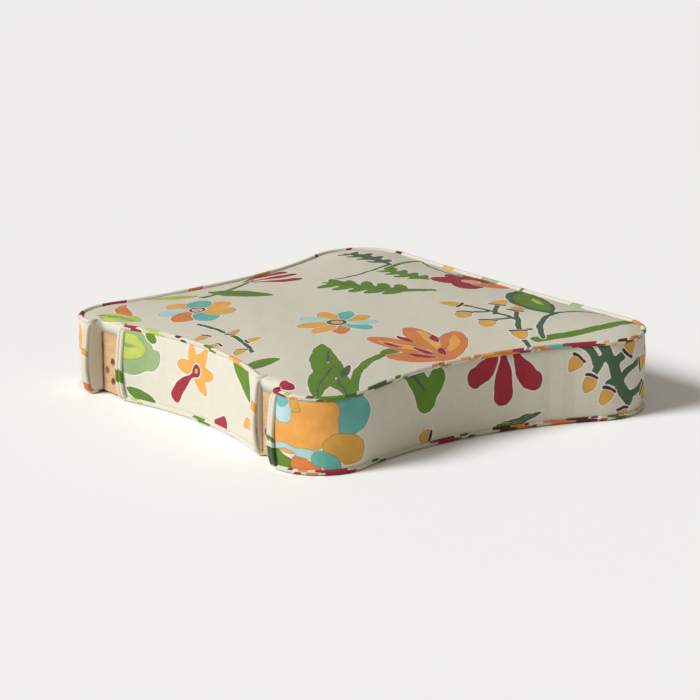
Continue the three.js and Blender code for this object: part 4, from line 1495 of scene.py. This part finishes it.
def closed_sheet(name, outer, inner):
    """A thin closed sheet: a grid of outer points over two inner rows, joined all round."""
    rows, columns, _ = outer.shape
    points = np.vstack([outer.reshape(-1, 3), inner.reshape(-1, 3)])
    faces = grid_faces(rows, columns, False)
    low, high = rows * columns, rows * columns + columns
    top = (rows - 1) * columns
    for c in range(columns - 1):
        faces.append((low + c + 1, low + c, high + c, high + c + 1))
        faces.append((c + 1, c, low + c, low + c + 1))
        faces.append((top + c, top + c + 1, high + c + 1, high + c))
    first = [r * columns for r in range(rows)]
    last = [r * columns + columns - 1 for r in range(rows)]
    faces.append((*first, high, low))
    faces.append((*reversed(last), low + columns - 1, high + columns - 1))
    mesh = mesh_from(name, points, faces)
    outward(mesh)
    return mesh


def make_bands():
    """The long band round the front, and the short one between the rear legs."""
    shape = plan()
    low, high = shape.notch_s
    make_band("side_band_cloth", high, shape.girth - high, "side_band", 21)
    make_band("rear_band_cloth", -low, low, "rear_band", 22)


TUCK_RADIUS = 0.0032
TUCK_LENGTH = 0.0050


def tucked(line, inward_first, inward_last):
    """Bends both ends of a cord's line into the cushion, so that no cut end shows."""

    def bend(end, before, inward):
        along = end - before
        along /= np.linalg.norm(along)
        turn = np.linspace(0, math.pi / 2, 7)[1:, None]
        quarter = end + TUCK_RADIUS * (np.sin(turn) * along + (1 - np.cos(turn)) * inward)
        return np.vstack([quarter, quarter[-1] + TUCK_LENGTH * inward])

    back = TUCK_RADIUS
    steps = np.concatenate([[0], np.cumsum(np.linalg.norm(np.diff(line, axis=0), axis=1))])
    keep = (steps > back) & (steps < steps[-1] - back)
    line = line[keep]
    head = bend(line[0], line[1], np.asarray(inward_first, float))[::-1]
    tail = bend(line[-1], line[-2], np.asarray(inward_last, float))
    return np.vstack([head, line, tail])


def welt_line(first, last, height, shape, trim, cover):
    s = np.linspace(first, last, round((last - first) / 0.003) + 1)
    point, normal = shape.at(s)
    xy = point - trim.welt_inset * normal
    line = settle(np.column_stack([xy, np.full(len(s), height)]), cover)
    inward = [-np.append(normal[end], 0.0) for end in (0, -1)]
    return tucked(line, *inward)


def make_welts():
    """Upper and lower welt, each in a long piece and a short one between the rear legs."""
    cover, trim = bpy.context.scene.seat_pad_cover, bpy.context.scene.seat_pad_trim
    shape = plan()
    low, high = shape.notch_s
    girth = shape.girth / MM
    long = (high, shape.girth - high)
    short = (-low, low)
    upper = [*UPPER_PATCHES, *scattered_patches(690, girth - 180, 31)]
    lower = [*LOWER_PATCHES, *scattered_patches(650, girth - 180, 32)]
    for node, span, height, patches in (
        ("upper_welt", long, UPPER_Z, upper),
        ("upper_welt_rear", short, UPPER_Z, REAR_UPPER_PATCHES),
        ("lower_welt", long, LOWER_Z, lower),
        ("lower_welt_rear", short, LOWER_Z, REAR_LOWER_PATCHES),
    ):
        line = welt_line(*span, height, shape, trim, cover)
        add_trim(f"{node}_cord", node, [line], trim.welt_radius, span[0] / MM, patches)


CORD_STEP, CORD_SIDES = 0.0016, 16


def add_trim(name, node, lines, radius, start, patches):
    """Covered cord along lines, printed from a length in millimetres, in place of its CAD node."""
    mesh = grown(lines, tree("cord", cord_tree), Radius=radius, Step=CORD_STEP, Sides=CORD_SIDES,
                 Material=finishes().welt_linen)
    print_cord(mesh, start, patches)
    co = coordinates(mesh)
    normals = np.empty(len(mesh.vertices) * 3)
    mesh.vertices.foreach_get("normal", normals)
    co += normals.reshape(-1, 3) * (smooth_noise(co, 0.03, 41) * 0.00012)[:, None]
    mesh.vertices.foreach_set("co", co.ravel())
    mesh.update()
    dressed(name, mesh, finishes().welt_linen, "welt", node)


DOUBLE_PATCHES = {
    "left_leg_double_welt_inner": (("green", 30, 44),),
    "left_leg_double_welt_outer": (("terracotta", 8, 20), ("mustard", 52, 60)),
    "right_leg_double_welt_inner": (("orange", 56, 66),),
    "right_leg_double_welt_outer": (("forest", 12, 34), ("green", 40, 44)),
}


def double_welt_line(x, shape, trim, cover):
    """One cord of a double welt: it leans out low on the notch, and both ends dip to the seams."""
    bottom, top = LOWER_Z - trim.welt_radius * 0.2, UPPER_Z - trim.welt_radius * 0.8
    length = shape.rear_length(abs(x))
    edge_y = shape.at(np.array([length if x < 0 else -length]))[0][0, 1]
    z = np.linspace(bottom, top, 34)
    share = (z - bottom) / (top - bottom)
    lean = trim.double_bulge * np.sin(np.pi * np.clip(share, 0, 1)) * (1.35 - share)
    dip = 0.0018 * (np.exp(-share / 0.04) + np.exp(-(1 - share) / 0.04))
    y = edge_y + trim.double_radius * 0.8 + lean - dip
    line = settle(np.column_stack([np.full(len(z), x), y, z]), cover)
    return tucked(line, (0.0, -1.0, 0.0), (0.0, -1.0, 0.0))


def make_double_welts():
    """Two cords side by side along each edge of the rear-leg notches."""
    cover, trim = bpy.context.scene.seat_pad_cover, bpy.context.scene.seat_pad_trim
    for node, patches in DOUBLE_PATCHES.items():
        low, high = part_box(node)
        places = (low.x + trim.double_radius, high.x - trim.double_radius)
        lines = [double_welt_line(x, plan(), trim, cover) for x in places]
        add_trim(f"{node}_cords", node, lines, trim.double_radius, 0.0, patches)


FACING_EDGE, FACING_END = 0.0034, 0.0225  # the facing's two edges, inside the outline
FACING_ROWS = 9
FACING_LIFT = 0.0004
FACING_SHORT = 0.004  # the facing stops this far from a notch


def make_facing(node, first, last, shape):
    """The cover's lower edge, turned under the rails between two lengths."""
    s = np.linspace(first, last, round((last - first) / 0.004) + 1)
    point, normal = shape.at(s)
    insets = np.linspace(FACING_EDGE, FACING_END, FACING_ROWS)
    rows = np.stack([point - inset * normal for inset in insets])
    flat = np.stack([np.tile(s, FACING_ROWS), np.repeat(insets, len(s))], -1)
    gather = smooth_noise(flat, 0.022, 51).reshape(FACING_ROWS, len(s)) * 0.00025
    under = np.dstack([rows, FACING[0].z + FACING_LIFT + gather])
    over = np.dstack([rows[[0, -1]], np.full((2, len(s)), FACING[1].z + FACING_LIFT)])
    mesh = closed_sheet(f"{node}_cloth", under, over)
    print_sheet(mesh, s, -insets, shape.girth)
    piece = dressed(f"{node}_cloth", mesh, finishes().printed_linen, "plain_linen", node)


def make_underside():
    """Facing turned under the rails, and the dust cloth tacked over it."""
    shape = plan()
    low, high = shape.notch_s
    make_facing("underside_facing", high + FACING_SHORT, shape.girth - high - FACING_SHORT, shape)
    make_facing("underside_facing_rear", -low + FACING_SHORT, low - FACING_SHORT, shape)
    make_dust_cloth(shape)


def leg_seats(half, step=0.004):
    """Squares round the front legs' seats in the corner blocks, as closed loops."""
    edge = np.arange(-half, half - step / 2, 2 * half / round(2 * half / step))
    side = np.column_stack([edge, np.full(len(edge), -half)])
    square = np.vstack([side, side[:, ::-1] * (-1, 1), -side, side[:, ::-1] * (1, -1)])
    seats = []
    for hand in ("left", "right"):
        low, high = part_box(f"front_{hand}_leg_tee_nut")
        seats.append(square + ((low.x + high.x) / 2, (low.y + high.y) / 2))
    return seats


LEG_SEAT_HOLE = 0.0206  # half the side of the cut-out round a leg seat
STAPLES_CLEAR = 0.0235  # half the side of the square that staples keep out of
STAPLE_SET_IN = 0.005  # the staples' line inside the dust cloth's edge
STAPLE_Z = 0.00033
DUST_INSET = DUST_CLOTH[0].x - OUTLINE_X


def make_dust_cloth(shape):
    """The black cloth that closes the underside, cut out round the front legs' seats."""
    point, normal = shape.at(np.linspace(0, shape.girth, 241)[:-1])
    points, faces = filled_plan(point - DUST_INSET * normal, 0.008, leg_seats(LEG_SEAT_HOLE))
    slack = np.clip(shape.inset(points) / 0.05, 0, 1)
    sag = smooth_noise(points, 0.11, 61) * 0.00018 * slack
    sheet = mesh_from("dust_cloth_sheet", np.column_stack([points, 0.00030 + sag]), faces)
    holder = holder_of(sheet)
    thick = holder.modifiers.new("Thickness", "SOLIDIFY")
    thick.thickness = 0.0004
    thick.offset = 0.0
    mesh = plain_mesh(holder)
    outward(mesh)
    piece = dressed("dust_cloth_sheet", mesh, finishes().dust_cloth, "dust_cloth", "dust_cloth")
    corners = points[np.array(faces)]


def staple_shape(width):
    """One staple: a flat wire crown with its two legs let into the cloth."""
    wire, leg = 0.0006, 0.0011
    bm = bmesh.new()
    for x, y, z, across, up in (
        (0.0, 0.0, 0.0, width, wire),
        (-width / 2 + wire / 2, 0.0, leg / 2, wire, leg),
        (width / 2 - wire / 2, 0.0, leg / 2, wire, leg),
    ):
        made = bmesh.ops.create_cube(bm, size=1.0)
        for vert in made["verts"]:
            vert.co = Vector((x + vert.co.x * across, y + vert.co.y * 0.0012, z + vert.co.z * up))
    mesh = bpy.data.meshes.new("staple")
    bm.to_mesh(mesh)
    bm.free()
    return holder_of(mesh)


def make_staples():
    """Staples at an even pitch round the dust cloth, with none on the leg seats."""
    trim = bpy.context.scene.seat_pad_trim
    shape = plan()
    s = np.linspace(0.0, shape.girth, 500)
    point, normal = shape.at(s)
    xy = point - (DUST_INSET + STAPLE_SET_IN) * normal
    line = np.column_stack([xy, np.full(len(s), STAPLE_Z)])
    clear = ~np.any([inside_loop(xy, seat) for seat in leg_seats(STAPLES_CLEAR)], axis=0)
    breaks = np.flatnonzero(np.diff(clear)) + 1
    stretches = zip(np.split(line, breaks), np.split(clear, breaks))
    runs = [run for run, free in stretches if free[0]]
    staple = staple_shape(trim.staple_width)
    mesh = grown(runs, tree("along", along_path_tree), Piece=staple, Pitch=trim.staple_pitch,
                 Sway=0.16, Seed=7, Material=finishes().steel)
    bpy.data.objects.remove(staple)
    piece = link("dust_cloth_staples", mesh, finishes().steel, smooth=False)
    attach(piece, "root")


def dress_cad():
    """Gives every CAD node that stays its own finish."""
    made = finishes()
    by_slot = {
        "beech": made.beech, "steel": made.steel, "webbing": made.webbing, "hessian": made.hessian,
        "foam": made.foam, "wadding": made.wadding, "dust_cloth": made.dust_cloth,
        "printed_linen": made.printed_linen, "welt": made.welt_linen, "plain_linen": made.printed_linen,
    }
    slots = {part["node"]: part["material_slot"] for part in frame["record"]["subparts"]}
    for name, node in frame["nodes"].items():
        node.data.materials.clear()
        node.data.materials.append(by_slot[slots[name]])


def make_stage():
    """Floor, lights and camera."""
    stage = bpy.context.scene.seat_pad_stage
    scene = bpy.context.scene
    floor_mesh = bpy.data.meshes.new("studio_floor")
    reach = 30.0
    floor_mesh.from_pydata(
        [(-reach, -reach, 0), (reach, -reach, 0), (reach, reach, 0), (-reach, reach, 0)], [], [(0, 1, 2, 3)]
    )
    floor = bpy.data.objects.new("studio_floor", floor_mesh)
    floor.location.z = -0.0006
    scene.collection.objects.link(floor)
    material, _, shader = new_material("Studio floor", 0.7)
    shader.inputs["Base Color"].default_value = (*stage.floor, 1.0)
    floor_mesh.materials.append(material)

    world = bpy.data.worlds.new("Studio")
    world.use_nodes = True
    background = world.node_tree.nodes["Background"]
    background.inputs["Color"].default_value = (1.0, 0.93, 0.82, 1.0)
    background.inputs["Strength"].default_value = stage.fill
    scene.world = world

    light = bpy.data.lights.new("Key", "SUN")
    light.energy = stage.key
    light.angle = math.radians(22.0)
    light.color = (0.965, 0.985, 1.0)
    lamp = bpy.data.objects.new("Key", light)
    scene.collection.objects.link(lamp)
    lamp.rotation_euler = (-Vector((0.22, 1.0, 0.80))).to_track_quat("-Z", "Y").to_euler()

    camera = bpy.data.objects.new("Camera", bpy.data.cameras.new("Camera"))
    scene.collection.objects.link(camera)
    azimuth, elevation = stage.azimuth, stage.elevation
    back = Vector((math.sin(azimuth) * math.cos(elevation), -math.cos(azimuth) * math.cos(elevation),
                   math.sin(elevation)))
    target = Vector((0.0, 0.0, (CAD_BOX[0].z + CAD_BOX[1].z) / 2))
    camera.location = target + back * stage.distance
    camera.rotation_euler = (-back).to_track_quat("-Z", "Y").to_euler()
    camera.data.lens = stage.lens
    camera.data.clip_start = 0.05
    camera.data.clip_end = 100.0
    scene.camera = camera
    scene.view_settings.view_transform = "Standard"


# ---- Operators, panel and registration --------------------------------------------------------


class SEATPAD_OT_top(bpy.types.Operator):
    """Make the crowned top and its printed panel"""

    bl_idname = "seat_pad.top"
    bl_label = "Top cushion"

    def execute(self, context):
        make_top()
        return {"FINISHED"}


class SEATPAD_OT_bands(bpy.types.Operator):
    """Make the boxing band and the short band between the rear legs"""

    bl_idname = "seat_pad.bands"
    bl_label = "Boxing bands"

    def execute(self, context):
        make_bands()
        return {"FINISHED"}


class SEATPAD_OT_welts(bpy.types.Operator):
    """Make the upper and the lower welt"""

    bl_idname = "seat_pad.welts"
    bl_label = "Welts"

    def execute(self, context):
        make_welts()
        return {"FINISHED"}


class SEATPAD_OT_double_welts(bpy.types.Operator):
    """Make the double welts beside the rear legs"""

    bl_idname = "seat_pad.double_welts"
    bl_label = "Double welts"

    def execute(self, context):
        make_double_welts()
        return {"FINISHED"}


class SEATPAD_OT_underside(bpy.types.Operator):
    """Make the facing under the rails and the dust cloth"""

    bl_idname = "seat_pad.underside"
    bl_label = "Underside cloths"

    def execute(self, context):
        make_underside()
        return {"FINISHED"}


class SEATPAD_OT_staples(bpy.types.Operator):
    """Set the staples round the dust cloth"""

    bl_idname = "seat_pad.staples"
    bl_label = "Staples"

    def execute(self, context):
        make_staples()
        return {"FINISHED"}


class SEATPAD_OT_frame(bpy.types.Operator):
    """Give the timber, the suspension and the fastenings their finishes"""

    bl_idname = "seat_pad.frame"
    bl_label = "Frame finishes"

    def execute(self, context):
        dress_cad()
        return {"FINISHED"}


class SEATPAD_OT_stage(bpy.types.Operator):
    """Make the floor, the lights and the camera"""

    bl_idname = "seat_pad.stage"
    bl_label = "Stage"

    def execute(self, context):
        make_stage()
        return {"FINISHED"}


OPERATORS = (
    SEATPAD_OT_frame,
    SEATPAD_OT_top,
    SEATPAD_OT_bands,
    SEATPAD_OT_welts,
    SEATPAD_OT_double_welts,
    SEATPAD_OT_underside,
    SEATPAD_OT_staples,
    SEATPAD_OT_stage,
)


class SEATPAD_PT_panel(bpy.types.Panel):
    """Lists the pad's operators, sizes and colours"""

    bl_label = "Seat pad"
    bl_idname = "SEATPAD_PT_panel"
    bl_space_type = "VIEW_3D"
    bl_region_type = "UI"
    bl_category = "Seat pad"

    def draw(self, context):
        for operator in OPERATORS:
            self.layout.operator(operator.bl_idname)
        for name, group in PROPERTY_GROUPS.items():
            box = self.layout.box()
            for prop in group.__annotations__:
                box.prop(getattr(context.scene, name), prop)


def register():
    for group in PROPERTY_GROUPS.values():
        bpy.utils.register_class(group)
    for name, group in PROPERTY_GROUPS.items():
        setattr(bpy.types.Scene, name, PointerProperty(type=group))
    for operator in OPERATORS:
        bpy.utils.register_class(operator)
    bpy.utils.register_class(SEATPAD_PT_panel)


def unregister():
    bpy.utils.unregister_class(SEATPAD_PT_panel)
    for operator in reversed(OPERATORS):
        bpy.utils.unregister_class(operator)
    for name in PROPERTY_GROUPS:
        delattr(bpy.types.Scene, name)
    for group in PROPERTY_GROUPS.values():
        bpy.utils.unregister_class(group)


def main():
    register()
    for operator in OPERATORS:
        family, name = operator.bl_idname.split(".")
        getattr(getattr(bpy.ops, family), name)()


if __name__ == "__main__":
    main()
